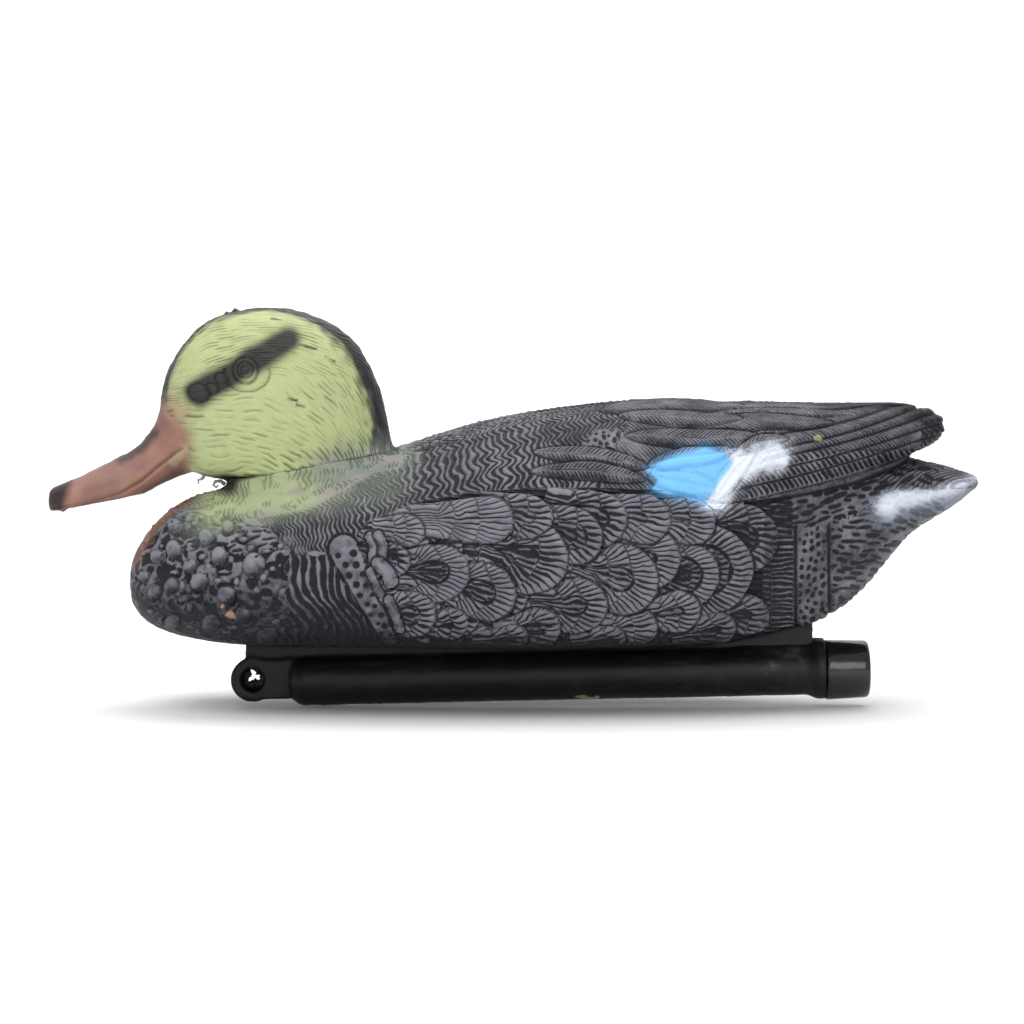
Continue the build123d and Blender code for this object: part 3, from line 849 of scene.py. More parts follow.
def head_relief(relief, p, weight):
    """Fine plumage lines that sweep from the bill over the cheek, the eye, and the lips."""
    x, y, z = p.T
    back = np.clip((x + 112) / 60, 0, 1.1)
    front = np.clip(x + 112, -40, 0)
    sweep = z + 60 * (0.45 * back**2 + 0.257 * back**7) + 0.0175 * front**2 * smooth(74, 98, z)
    crown = 72 + np.hypot(x + 100, (z - 72) * 1.04)
    flow = mix(sweep, crown, smooth(78, 98, z)) + 1.3 * noise(p, 12, 71) + 0.5 * noise(p, 4.5, 72)
    phase = flow / np.interp(z, [50, 62, 90, 112], [1.55, 1.7, 1.9, 1.7])
    along = x - 0.7 * (z - 80) * back
    line = np.floor(phase)
    above, behind = neck_frame(p)
    run = along / 12.0 + 3.7 * hashed(line, 3)
    piece = run - np.floor(run)
    dash = hashed(line, np.floor(run))
    face = weight * smooth(-1.5, 1.5, -bill_side(x, z))
    taper = smooth(0.0, 0.3, piece) * smooth(1.0, 0.7, piece)
    strength = (0.045 + 0.05 * dash) * taper * (1 + 0.4 * noise(p, 8, 73))
    strength = strength + 0.07 * smooth(11, 3, above) * smooth(-26, -6, behind) * taper
    eye = np.hypot(x - EYE[0], z - EYE[1])
    relief.strokes(face, phase, strength * smooth(5.5, 8.0, eye), 0.2)
    relief.height += face * (0.16 * noise(p, 7, 74) + 0.1 * noise(p, 3, 76))
    on = weight * smooth(9, 7, eye)
    relief.height += on * (0.9 * smooth(5.6, 4.2, eye) + 0.5 * smooth(2.0, 1.0, eye))
    for radius, depth, width in ((5.1, 0.5, 0.45), (3.1, 0.45, 0.4), (1.6, 0.25, 0.3)):
        relief.groove(np.where(on > 0.3, eye - radius, FAR), depth, width)
    lid = np.hypot((x - EYE[0] - 0.5) * 0.8, z - EYE[1] + 1.0)
    relief.groove(np.where((z < EYE[1] + 1) & (weight > 0.5), lid - 7.4, FAR), 0.35, 0.4)
    for cx, cz, size in KNOBS:
        knob = np.hypot((x - cx) * 0.8 + 0.5 * (z - cz), (z - cz) * 0.9 - 0.3 * (x - cx)) - size
        relief.height += weight * 0.5 * smooth(0.6, -0.8, knob)
        relief.groove(np.where(weight > 0.5, knob - 0.3, FAR), 0.3, 0.45)
    bill = weight * smooth(0.5, 2.0, bill_side(x, z))
    lip = line_distance(x, z, MOUTH_LINE)
    upper = line_distance(x, z - 4.5, MOUTH_LINE[:-1])
    relief.height -= bill * (0.55 * bell(lip, 0.7) + 0.22 * bell(upper, 0.9))
    relief.height += bill * 0.12 * noise(p, 5, 75)
    relief.mark(lip - 0.05, bill > 0.5)
    for cx, cz, size, tall in BURRS:
        relief.height += weight * tall * bell(np.hypot(x - cx, z - cz), size) * bell(y, 0.9)
    relief.brush(1.0, weight)


def seam_distance(p):
    """Distance from the line where head and body meet, and whether a point is on the head."""
    above, along = neck_frame(p)
    behind = along - NAPE
    is_head = (above > 0) & (behind < 0)
    distance = np.where(behind < 0, np.abs(above), np.hypot(np.minimum(above, 0), behind))
    distance = np.where(above > 0, np.minimum(distance, np.abs(behind)), distance)
    return distance, is_head


# ---------------------------------------------------------------- sprayed colour

GREEN = (0.432, 0.484, 0.238)
# near-black paint for the stripes, also used for painted shade under the bill and in the chin crease
STRIPE_AND_SHADE = (0.022, 0.019, 0.026)
CREST = (0.017, 0.017, 0.024)
ORANGE = (0.335, 0.178, 0.137)
BROWN = (0.215, 0.10, 0.065)
COLLAR = (0.335, 0.385, 0.215)
BLUE = (0.17, 0.48, 0.85)
WHITE = (0.70, 0.75, 0.84)
HAZE = (0.19, 0.215, 0.185)
SHADOW = (0.15, 0.10, 0.105)
MAUVE = (0.26, 0.215, 0.235)
SLATE = (0.19, 0.225, 0.285)
BILL_TIP = (0.02, 0.017, 0.02)
BARE_TAN = (0.37, 0.215, 0.13)
FLECK = (0.40, 0.43, 0.2)


# The blue patch on the wing, as a closed outline, with the white bar and the white cloud behind it.
PATCH = [
    (53, 54), (60, 57.5), (67.5, 60.5), (76, 62.2), (84, 59.5), (87, 56),
    (80, 46), (76, 41), (64, 43.7), (55, 46.3), (57, 50),
]
BAR = [(79.5, 42.5), (84, 49.5), (90, 55.5)]
CLOUD = [(91, 55.5), (99, 58.5), (104, 59)]
# Mauve blots on the neck.
BLOTS = [(-76, 43.6), (-70, 45.6), (-87, 44.5), (-64, 50), (-100, 34), (-91, 26), (-86, 22)]


def spray_neck(relief, p, soft):
    """The green collar with its blots, painted shade in the chin crease, and the brown front of the
    breast.
    """
    x, y, z = p.T
    above, along = neck_frame(p)
    collar = smooth(-19, -8, above + 1.5 * soft) * smooth(46, 32, np.abs(along + 8 - 0.05 * above))
    mottle = 0.5 * noise(p, 4, 84)
    haze = smooth(-26, -12, above + 2 * soft) * smooth(60, 36, np.abs(along + 10))
    relief.spray(HAZE, 0.6 * haze)
    green = collar * smooth(20, -12, along + 14 * mottle)
    relief.spray(COLLAR, 0.9 * green)
    relief.cut = mix(relief.cut, np.minimum(relief.cut, 0.12), np.clip(green, 0, 1))
    spray_hem(relief, p)
    # painted shade: near-black sprayed into the crease under the chin
    relief.spray(STRIPE_AND_SHADE, 0.9 * smooth(6, 1.5, np.hypot(x + 114.5, (z - 46) * 1.3)))
    for cx, cz in BLOTS:
        blot = np.hypot((x - cx) * 0.6, (z - cz) * 1.1) + 2 * mottle
        relief.spray(MAUVE, 0.55 * smooth(3.2, 0.6, blot))
    front = smooth(34, 20, np.abs(y) + 2 * soft) * smooth(-118, -128, x) * smooth(6, 22, z)
    edge = np.interp(z, [-5, 8, 22.8, 31, 37, 42, 46], [-151, -153.6, -150, -144, -138, -130, -120])
    relief.spray(BROWN, 0.85 * front * smooth(5.0, 1.5, x - edge + soft))


def spray_wing(relief, p, soft):
    """The blue patch with its white bar and cloud, over quieter strokes."""
    x, _, z = p.T
    patch = inside(x, z, PATCH)
    upper = smooth(46, 56, z)
    relief.spray(BLUE, 0.35 * smooth(-6.5, 0, patch + soft))
    relief.spray(BLUE, smooth(-0.8 - 1.2 * upper, 0.7 + 0.8 * upper, patch + 0.5 * soft))
    off_patch = 5 * smooth(-1.5, 1.5, patch)
    bar = 4.6 - line_distance(x, z, BAR) - off_patch
    cloud = 5.8 - line_distance(x, z, CLOUD) - off_patch + 1.6 * noise(p, 3, 85)
    relief.spray(WHITE, 0.8 * smooth(-5.5, 4.5, cloud + 1.2 * soft))
    relief.spray(WHITE, 0.35 * smooth(-6, 2, bar + soft))
    relief.spray(WHITE, 0.95 * smooth(-2.2, 3.2, bar + 1.2 * soft))
    hidden = np.clip(smooth(-2, 1, patch) + smooth(-1, 2, np.maximum(bar, cloud)), 0, 1)
    relief.cut = mix(relief.cut, np.minimum(relief.cut, 0.015), hidden)
    relief.pit = np.where(hidden > 0.5, np.maximum(relief.pit, 0.38), relief.pit)


def spray_tail(relief, p, soft):
    """The white streak along the tail, in its blue-grey shade."""
    x, _, z = p.T
    behind = x > 100
    streak = line_distance(x, z, [(149, 39), (153, 40.4), (170, 43.6), (184, 48.5)])
    wide = np.interp(x, [140, 148, 160, 184], [4.0, 5.0, 3.6, 2.6])
    shade = 0.65 * smooth(15, 3, streak + soft) * smooth(46, 38, z)
    relief.spray(SLATE, np.where(behind, shade, 0))
    white = np.where(behind, 0.8 * smooth(wide + 3.0, wide - 4.0, streak + 1.2 * soft), 0)
    relief.spray(WHITE, white)
    relief.pit = np.where(white > 0.4, np.maximum(relief.pit, 0.15), relief.pit)


def spray_body(relief, p):
    """The airbrushed places of the body, its unbrushed back and belly, and small near-side chips."""
    x, y, z = p.T
    soft = noise(p, 8, 81)
    spray_neck(relief, p, soft)
    spray_wing(relief, p, soft)
    spray_tail(relief, p, soft)
    spine = smooth(18, 10, np.abs(y) + 3 * soft) * smooth(-10, 20, x) * smooth(62, 66, z)
    relief.dry *= 1 - 0.75 * spine
    relief.dry *= 1 - 0.7 * smooth(-8, -17, z + 1.5 * soft)
    relief.dry *= 1 - 0.42 * smooth(16, -4, z + 3 * soft) * smooth(-40, -72, x)
    relief.dry *= 1 - 0.5 * smooth(-12, -18, z)
    for cx, cz, radius in ((-114, -4.2, 1.6), (-117.4, -1.4, 0.9)):
        chip = np.hypot((x - cx) * 0.8, z - cz) - radius + noise(p, 1.6, 82)
        relief.spray(BARE_TAN, smooth(0.3, -0.3, chip) * (y < 0))
    fleck = np.hypot((x - 120.5) * 0.75, (z - 65.8) * 1.4) - 1.4 + 0.7 * noise(p, 1.4, 83)
    relief.spray(FLECK, smooth(0.3, -0.3, fleck) * (y < 0))


def spray_hem(relief, p):
    """Grey-green and mauve overspray along the neck seam, on the head and the body alike."""
    above, along = neck_frame(p)
    soft = noise(p, 8, 91)
    hem = smooth(11, 2, np.abs(above) + 2.2 * soft) * smooth(-12, 8, along) * smooth(48, 38, along)
    relief.spray(HAZE, 0.62 * hem)
    blot = smooth(6.0, 1.5, np.abs(above + 1) + 1.2 * soft) * smooth(-12, 8, along)
    blot = blot * smooth(44, 36, along)
    relief.spray(MAUVE, 0.8 * blot * smooth(0.05, 0.4, noise(p, 5, 94)))


def spray_head(relief, p):
    """The yellow-green head with its dark stripes, the orange-brown bill, and painted shade under the
    bill and the chin.
    """
    x, y, z = p.T
    side = np.abs(y)
    soft = noise(p, 8, 91)
    fine = noise(p, 2.5, 92)
    relief.tint[:] = (*GREEN, 1.0)
    bill = bill_side(x, z)
    relief.spray(BROWN, 0.55 * smooth(-5.5, -0.5, bill + soft + 0.6 * fine) * smooth(50, 56, z))
    forehead = smooth(70, 76, z) * smooth(98, 84, z)
    relief.spray(ORANGE, 0.6 * smooth(-14, -1, bill + 2 * soft) * forehead)
    relief.spray(ORANGE, smooth(-2.2, 1.2, bill + 0.6 * soft))
    upper = z - np.interp(x, [-185, -160, -145, -128], [44, 52, 62, 74])
    relief.spray(SHADOW, 0.63 * smooth(0, 3, bill) * smooth(-4, 5, upper + 2 * soft))
    relief.spray(SHADOW, 0.45 * smooth(0, 3, bill) * smooth(0.0, 0.5, noise(p, 9, 96)))
    corner = line_distance(x, z, [(-136, 55.5), (-131.5, 61)])
    relief.spray(GREEN, 0.4 * smooth(2.8, 0.6, corner + 0.5 * fine))
    relief.spray(BROWN, 0.35 * smooth(0.8, 3, bill) * smooth(0.1, 0.6, noise(p, 10, 93)))
    tip = smooth(-176.5, -181.5, x + 0.8 * soft - 0.25 * (z - 40))
    relief.spray(BILL_TIP, 0.95 * tip)
    # painted shade: the underside of the bill, near the middle, is darkened
    under = smooth(6.5, 2.0, z - np.interp(x, [-185, -170, -150, -138], [35, 36, 42.4, 48]))
    relief.spray(STRIPE_AND_SHADE, 0.4 * under * smooth(-128, -136, x) * smooth(9, 4, side))
    streak = noise(np.stack([x, y * 2.6, z], axis=1), 4, 95)
    beside = side - np.interp(x, [-140, -100, -70], [9, 7.5, 12])
    crest = smooth(3.5, -2.5, beside + soft + 2 * streak) * smooth(57, 62, z)
    ridge = line_distance(x, z, [(-157, 56.8), (-151, 61.4), (-145.2, 67.5)])
    relief.spray(STRIPE_AND_SHADE, 0.75 * smooth(4.4, 0.4, ridge + 1.2 * soft + 0.8 * fine))
    jaw = line_distance(
        x, z, [(-185, 34.3), (-165, 36.6), (-150, 41), (-140, 46), (-131, 49.6), (-112, 48.8)])
    relief.spray(STRIPE_AND_SHADE, 0.75 * smooth(2.3, 0.5, jaw + 0.5 * soft))
    front_fade = smooth(-146, -141, x + 0.1 * (z - 78))
    front_fade = front_fade * smooth(74, 84, z + np.where(x > -100, 50, 0))
    relief.spray(CREST, 0.96 * crest * front_fade)
    nape = smooth(16, 8, side + soft + 3 * streak) * smooth(-68, -58, x) * smooth(104, 88, z)
    relief.spray(CREST, 0.94 * nape)
    relief.spray(CREST, 0.8 * smooth(9, 3, np.hypot(x + 52, (z - 62) * 0.8) + soft + 2 * streak))
    band, _ = segment_distance(x, z, (-126.4, 83.2), (-90.5, 104.6))
    relief.spray(STRIPE_AND_SHADE, 0.3 * smooth(9.0, 4.0, band + soft))
    relief.spray(STRIPE_AND_SHADE, 0.95 * smooth(6.6, 3.0, band + 0.9 * soft))
    above, along = neck_frame(p)
    # painted shade: near-black in the crease under the chin and along the front of the neck seam
    throat = smooth(7, 1, np.hypot(x + 115, (z - 48) * 1.3))
    throat = throat + smooth(2.6, 0.8, above) * smooth(-16, -28, along)
    relief.spray(STRIPE_AND_SHADE, 0.95 * throat)
    spray_hem(relief, p)
    for nick in NICKS:
        relief.spray(CREST, 0.9 * smooth(0.6, 0.1, line_distance(x, z, nick) + 0.35 * fine))


# ---------------------------------------------------------------- relief and paint on the skin


def body_regions(p):
    """Where each formula of the body applies, from 0 to 1."""
    x, _, z = p.T
    soft = 0.8 * noise(p, 6, 101)
    left = np.interp(z, [-18, -14, 22, 34], [-48, -50, -66, -62])
    above_belly = smooth(-17.6, -14.6, z)
    over = z - np.interp(
        x, [-75, -60, -40, -20, 5, 30, 60, 86.5, 112, 137, 158, 170],
        [24, 33, 41, 45, 47, 47, 46, 40.4, 43.4, 48.4, 57.1, 63],
    )
    back = np.where(x < -60, 99, np.minimum(over, 40 - x + 0.35 * (z - 60) + soft))
    front_edge = np.interp(x, [-125, -100, -88, -70, -60], [37, 32, 21, 21, 31])
    front = np.minimum(z - front_edge, -60 - x)
    breast_edge = np.interp(x, [-125, -100, -91], [37, 32, 22])
    breast = np.minimum(-91 - x + 3 * soft, breast_edge - z + 3 * soft)
    upright = np.minimum(np.minimum(x + 91 - 3 * soft, left - x), 21.5 - z + 2.5 * soft)
    strips = x - np.interp(z, [38, 47, 53, 60, 66, 70, 80], [84, 90, 95, 101, 98, 92, 90])
    fringe = np.interp(z, [60, 63.6, 66.4, 79], [4, 4, 9, 9])
    behind_back = x - 40 - 0.35 * (z - 60) - soft
    cover = np.minimum(fringe - strips, behind_back)
    cover = np.where(z > 61, np.minimum(np.minimum(z - 61, behind_back), 162 - x), cover)
    tail_top = (x > 120) & (z < np.interp(x, [120, 158, 172], [48, 58.5, 66]) - 0.5)
    side = np.minimum(np.minimum(-over, x - left), 111 - x)
    return {
        "flank": above_belly * smooth(-0.8, 0.8, side),
        "ripple": smooth(-1.2, 1.2, np.where(x < -60, front + soft, back)),
        "pebble": above_belly * smooth(-1.6, 1.6, breast),
        "wave": above_belly * smooth(-1.0, 1.0, upright),
        "strip": np.where(tail_top, 0, smooth(-0.8, 0.8, np.minimum(over, strips))),
        "cover": smooth(-0.8, 0.8, np.minimum(over, cover)),
        "inner": np.where(tail_top, 0, smooth(-0.8, 0.8, np.minimum(over, x - 5))),
        "rump": above_belly * smooth(-0.6, 0.6, np.where(tail_top, 5, np.minimum(-over, x - 99))),
    }


def sculpt_bevel(relief, p, on_body):
    """The smooth bevel under the folded wing, and the crease below it."""
    x, _, z = p.T
    bevel = np.minimum(z - bevel_height(x), quill_height(0, x) - z)
    on = smooth(-0.3, 0.5, bevel) * smooth(88, 94, x) * smooth(160, 156, x) * on_body
    relief.height = mix(relief.height, 0.5, on)
    relief.wipe(on)
    relief.brush(0.38, on)
    under = np.abs(z - bevel_height(x))
    crease = smooth(88, 96, x) * smooth(162, 152, x) * on_body
    relief.height -= 0.8 * crease * bell(under, 0.9)
    relief.mark(under - 0.45, (crease > 0.4) & (under < 3))


def sculpt_seams(relief, p, seam, along):
    """The groove of the neck seam, and the flash along the parting line."""
    _, y, z = p.T
    deep = np.maximum(smooth(-10, -32, along), smooth(28, 33, along))
    relief.height -= mix(0.15, 1.3, deep) * bell(seam, mix(0.5, 1.1, deep))
    relief.mark(seam + mix(0.5, -0.8, deep))
    over_belly = smooth(-14, -8, z)
    flash = bell(y, 0.5) * over_belly * smooth(0.5, 2.5, seam)
    relief.height += flash * (0.25 + 0.25 * noise(p, 2.2, 104))
    relief.cut = mix(relief.cut, NO_STROKE, smooth(2.2, 1.0, np.abs(y)) * over_belly)


def sculpt(obj):
    """Displaces the relief into the skin and stores its fields for the materials."""
    place = coordinates(obj.data)
    seam, is_head = seam_distance(place)
    above, along = neck_frame(place)
    head = is_head.astype(float)
    on_body = 1 - head
    p = as_seen(place)
    relief = Relief(len(p))
    regions = {name: weight * on_body for name, weight in body_regions(p).items()}
    flank(relief, p, regions["flank"])
    waves(relief, p, regions["wave"])
    plain = np.interp(along, [0, 26], [-16, -7])
    throat = smooth(plain - 2, plain + 3, above) * smooth(41, 35, np.abs(along)) * on_body
    ripples(relief, p, regions["ripple"] * (1 - throat))
    wrinkles = p[:, 0] / 1.9 + 1.1 * noise(p, 6, 102) + 0.5 * noise(p, 2.5, 105)
    relief.strokes(throat, wrinkles, 0.06 + 0.2 * noise(p, 5, 103), 0.2)
    pebbles(relief, p, regions["pebble"])
    wing(relief, p, regions["strip"])
    coverts(relief, p, regions["cover"], regions["inner"])
    rump(relief, p, regions["rump"])
    banded = relief.copy()
    pitted_band(banded, p)
    relief.take(banded, ~is_head)
    sculpt_bevel(relief, p, on_body)
    head_relief(relief, p, head)
    sculpt_seams(relief, p, seam, along)
    painted = relief.copy()
    spray_body(painted, p)
    spray_head(relief, p)
    relief.take(painted, ~is_head)
    lift = relief.height * smooth(-18.5, -15.5, p[:, 2])      # the belly stays flat
    set_coordinates(obj.data, place + normals(obj.data) * lift[:, None])
    for name in ("phase", "cut", "pit", "dry", "tint"):
        store(obj.data, name, getattr(relief, name))


def close_rim(bm, apex):
    """Closes an open rim with a fan of faces to one point."""
    rim = [e for e in bm.edges if e.is_boundary]
    tip = bm.verts.new(apex)
    for edge in rim:
        loop = edge.link_loops[0]
        bm.faces.new((loop.link_loop_next.vert, loop.vert, tip))


def add_curls(bm):
    """Thin tapering curls of moulding flash that hang under the chin."""
    for points in CURLS:
        rings = []
        last = len(points) - 1
        for k, (x, z) in enumerate(points):
            before, after = points[max(k - 1, 0)], points[min(k + 1, last)]
            slope = math.atan2(after[1] - before[1], after[0] - before[0])
            radius = 0.85 - 0.5 * k / last
            ring = []
            for a in np.linspace(0, 2 * math.pi, 6, endpoint=False):
                side = radius * math.cos(a)
                place = (x - side * math.sin(slope), radius * math.sin(a), z + side * math.cos(slope))
                ring.append(bm.verts.new(Vector(place) / 1000))
            rings.append(ring)
        for a, b in zip(rings, rings[1:]):
            for k in range(len(a)):
                m = (k + 1) % len(a)
                bm.faces.new((a[k], b[k], b[m], a[m]))
        bm.faces.new(rings[0])
        bm.faces.new(rings[-1][::-1])


def split_at_neck(obj):
    """Cuts the skin along the neck seam into a closed body and a closed head."""
    bm = bmesh.new()
    bm.from_mesh(obj.data)
    up, back, centre = Vector(NECK_UP), Vector(NECK_BACK), Vector(NECK / 1000)
    nape = centre + back * (NAPE / 1000)

    def ahead_and_above(behind, below):
        """Faces in front of the nape and over the seam, by those margins in metres."""
        return [f for f in bm.faces
                if (f.calc_center_median() - nape).dot(back) < behind
                and (f.calc_center_median() - centre).dot(up) > -below]

    for point, normal in ((centre, up), (nape, back)):
        region = ahead_and_above(0.003, 0.003)
        geometry = list({v for f in region for v in f.verts})
        geometry += list({e for f in region for e in f.edges}) + region
        bmesh.ops.bisect_plane(bm, geom=geometry, dist=1e-7, plane_co=point, plane_no=normal)
    head = ahead_and_above(0, 0)
    head_bm = bm.copy()
    chosen = {f.index for f in head}
    for part, is_head in ((bm, False), (head_bm, True)):
        part.faces.ensure_lookup_table()
        gone = [f for f in part.faces if (f.index in chosen) != is_head]
        bmesh.ops.delete(part, geom=gone, context="FACES")
        keep_island(part, len)
    close_rim(bm, centre - up * 0.004)
    close_rim(head_bm, centre - up * 0.0005)
    add_curls(head_bm)
    bm.to_mesh(obj.data)
    obj.name = "body"
    head_obj = new_object("head", new_mesh("head", head_bm))
    for o in (obj, head_obj):
        o.data.shade_smooth()
    return obj, head_obj


# ---------------------------------------------------------------- materials


class Shader:
    """Builds one node material around a Principled shader."""

    def __init__(self, name, **constants):
        self.material = bpy.data.materials.new(name)
        self.material.use_nodes = True
        self.tree = self.material.node_tree
        self.out = self.tree.nodes["Principled BSDF"]
        for key, value in constants.items():
            self.out.inputs[key.replace("_", " ")].default_value = value

    def node(self, kind, inputs=(), **settings):
        node = self.tree.nodes.new(kind)
        for key, value in settings.items():
            setattr(node, key, value)
        for key, value in dict(inputs).items():
            self.put(node.inputs[key], value)
        return node

    def put(self, socket, value):
        if isinstance(value, bpy.types.NodeSocket):
            self.tree.links.new(value, socket)
        elif isinstance(value, tuple) and len(value) == 3 and socket.type == "RGBA":
            socket.default_value = (*value, 1.0)
        else:
            socket.default_value = value

    def math(self, operation, a, b=0.0, c=0.0):
        return self.node("ShaderNodeMath", {0: a, 1: b, 2: c}, operation=operation).outputs[0]

    def times(self, a, b):
        return self.math("MULTIPLY", a, b)

    def scaled(self, a, factor, more):
        """a times factor, plus more."""
        return self.math("MULTIPLY_ADD", a, factor, more)

    def ramp(self, value, low, high, start=0.0, end=1.0):
        """A smooth step of value from low to high, from start to end."""
        return self.node(
            "ShaderNodeMapRange",
            {"Value": value, "From Min": low, "From Max": high, "To Min": start, "To Max": end},
            interpolation_type="SMOOTHSTEP",
        ).outputs[0]

    def blend(self, share, a, b, how="MIX"):
        node = self.node("ShaderNodeMix", data_type="RGBA", blend_type=how)
        for index, value in ((0, share), (6, a), (7, b)):
            self.put(node.inputs[index], value)
        return node.outputs[2]

    def attribute(self, name, output="Fac"):
        return self.node("ShaderNodeAttribute", attribute_name=name).outputs[output]

    def place(self):
        return self.node("ShaderNodeTexCoord").outputs["Object"]

    def noise(self, size, detail=2.0, rough=0.5, stretch=None):
        """Noise over the object's own place, with features about that many millimetres."""
        vector = self.place()
        if stretch:
            vector = self.node("ShaderNodeMapping", {"Vector": vector, "Scale": stretch}).outputs[0]
        return self.node(
            "ShaderNodeTexNoise",
            {"Vector": vector, "Scale": 1000.0 / size, "Detail": detail, "Roughness": rough},
        ).outputs["Fac"]

    def bump(self, height, distance, strength=1.0):
        self.put(self.out.inputs["Normal"], self.node(
            "ShaderNodeBump", {"Height": height, "Distance": distance, "Strength": strength}
        ).outputs[0])

    def finish(self, colour, roughness):
        self.put(self.out.inputs["Base Color"], colour)
        self.put(self.out.inputs["Roughness"], roughness)
        return self.material


GREY, PALE_GREY, DULL_GREY = (0.186, 0.182, 0.214), (0.207, 0.202, 0.226), (0.138, 0.135, 0.159)
DEEP_BLACK, SOFT_BLACK = (0.007, 0.007, 0.010), (0.016, 0.016, 0.021)
SCUFF_GREY, CHIP_GREEN = (0.085, 0.085, 0.09), (0.42, 0.45, 0.16)


def painted_skin(name, groove_shade, line_edge, full_cut):
    """Black plastic with grey brushed on its high places and colours sprayed over it.

    groove_shade is how much a groove darkens a sprayed colour, line_edge how soft a stroke's
    edge is, and full_cut the width from which a stroke is wholly dark.
    """
    s = Shader(name, Specular_IOR_Level=0.2)
    phase, cut = s.attribute("phase"), s.attribute("cut")
    across = s.math("ABSOLUTE", s.math("SUBTRACT", s.math("FRACT", phase), 0.5))
    number = s.node("ShaderNodeCombineXYZ", {"X": s.math("FLOOR", phase)}).outputs[0]
    luck = s.node("ShaderNodeTexWhiteNoise", {"Vector": number}, noise_dimensions="3D")
    ragged = s.scaled(s.noise(1.6, 1.0), 0.6, 0.45)
    width = s.times(s.scaled(luck.outputs["Value"], 0.35, 0.8), s.times(cut, ragged))
    width = s.times(width, 1.35)
    inner, outer = s.math("SUBTRACT", width, line_edge), s.math("ADD", width, line_edge)
    present = s.ramp(cut, 0.0, full_cut)
    stroke = s.times(s.ramp(across, inner, outer, 1.0, 0.0), present)
    pit = s.attribute("pit")
    pitted = s.ramp(s.scaled(s.noise(1.3, 1.0), 0.3, pit), -0.12, 0.55, 1.0, 0.0)
    groove = s.math("MAXIMUM", stroke, pitted)
    rub = s.scaled(s.noise(2.4, 4.0, 0.65), 0.9, -0.45)
    brushed = s.ramp(s.math("ADD", s.attribute("dry"), rub), 0.05, 0.95)
    brushed = s.times(brushed, s.math("SUBTRACT", 1.0, groove))
    grey = s.blend(s.ramp(s.noise(26, 2.0), 0.35, 0.65), GREY, PALE_GREY)
    grey = s.blend(s.ramp(s.noise(7, 3.0), 0.4, 0.7), grey, DULL_GREY)
    colour = s.blend(brushed, s.blend(s.noise(5, 3.0), DEEP_BLACK, SOFT_BLACK), grey)
    cover = s.attribute("tint", "Alpha")
    speckle = s.scaled(s.noise(0.9, 2.0, 0.7), 1.3, -0.65)
    edge = s.times(s.times(cover, s.math("SUBTRACT", 1.0, cover)), 2.2)
    cover = s.ramp(s.scaled(edge, speckle, cover), 0.02, 0.98)
    shade = s.scaled(groove, -groove_shade, 1.0)
    shade = s.times(shade, s.scaled(s.noise(4, 3.0), 0.22, 0.89))
    shade = s.node("ShaderNodeCombineColor", {"Red": shade, "Green": shade, "Blue": shade})
    sprayed = s.blend(1.0, s.attribute("tint", "Color"), shade.outputs[0], "MULTIPLY")
    rough = s.scaled(groove, 0.08, s.scaled(s.noise(3, 3.0), 0.16, 0.46))
    ridge = s.times(s.ramp(across, width, 0.5), present)
    height = s.scaled(groove, -1.0, s.times(s.noise(0.8, 2.0), 0.16))
    height = s.scaled(s.ramp(pit, 0.2, 1.5), 0.7, s.scaled(ridge, 0.8, height))
    s.bump(height, 0.0004, 0.9)
    return s.finish(s.blend(cover, colour, sprayed), rough)


def bare_plastic(name, colour, dusty, rough, scuffs, shine=0.36):
    """Bare moulded plastic with faint dust, scuffs and flow marks."""
    s = Shader(name, Specular_IOR_Level=shine)
    dust = s.ramp(s.noise(18, 4.0, 0.6), 0.45, 0.75)
    streaks = s.ramp(s.noise(5, 3.0, 0.6, (0.12, 1.0, 1.0)), 0.56, 0.72)
    marks = s.ramp(s.noise(2.2, 4.0, 0.7, (0.3, 1.0, 1.6)), 0.62, 0.74)
    worn = s.times(s.math("MAXIMUM", dust, streaks), 0.35)
    worn = s.math("MAXIMUM", worn, s.times(marks, scuffs))
    smear = s.times(s.attribute("scuff"), s.ramp(s.noise(4, 4.0, 0.7), 0.35, 0.7, 0.1, 0.9))
    base = s.blend(smear, s.blend(worn, colour, dusty), SCUFF_GREY)
    base = s.blend(s.attribute("chip"), base, CHIP_GREEN)
    s.bump(s.scaled(s.noise(1.2, 3.0), 0.6, s.noise(9, 2.0)), 0.00012, 0.8)
    return s.finish(base, s.scaled(worn, 0.3, s.scaled(s.noise(6, 3.0), 0.1, rough)))


def grainy(name, dark, light, size, rough, depth):
    """A rough filling, such as sand or foam."""
    s = Shader(name, Specular_IOR_Level=0.3)
    grain = s.node("ShaderNodeTexVoronoi", {"Vector": s.place(), "Scale": 1000.0 / size})
    shade = s.ramp(grain.outputs["Distance"], 0.1, 0.7)
    luck = s.node("ShaderNodeSeparateColor", {"Color": grain.outputs["Color"]}).outputs[0]
    colour = s.blend(luck, dark, light)
    s.bump(shade, depth, 0.9)
    return s.finish(s.blend(shade, colour, dark), rough)


def wear(obj, material):
    obj.data.materials.clear()
    obj.data.materials.append(material)


# ---------------------------------------------------------------- keel and cap


LINE_EYE = (-104.6, -31.7, 4.8)     # x, z and radius


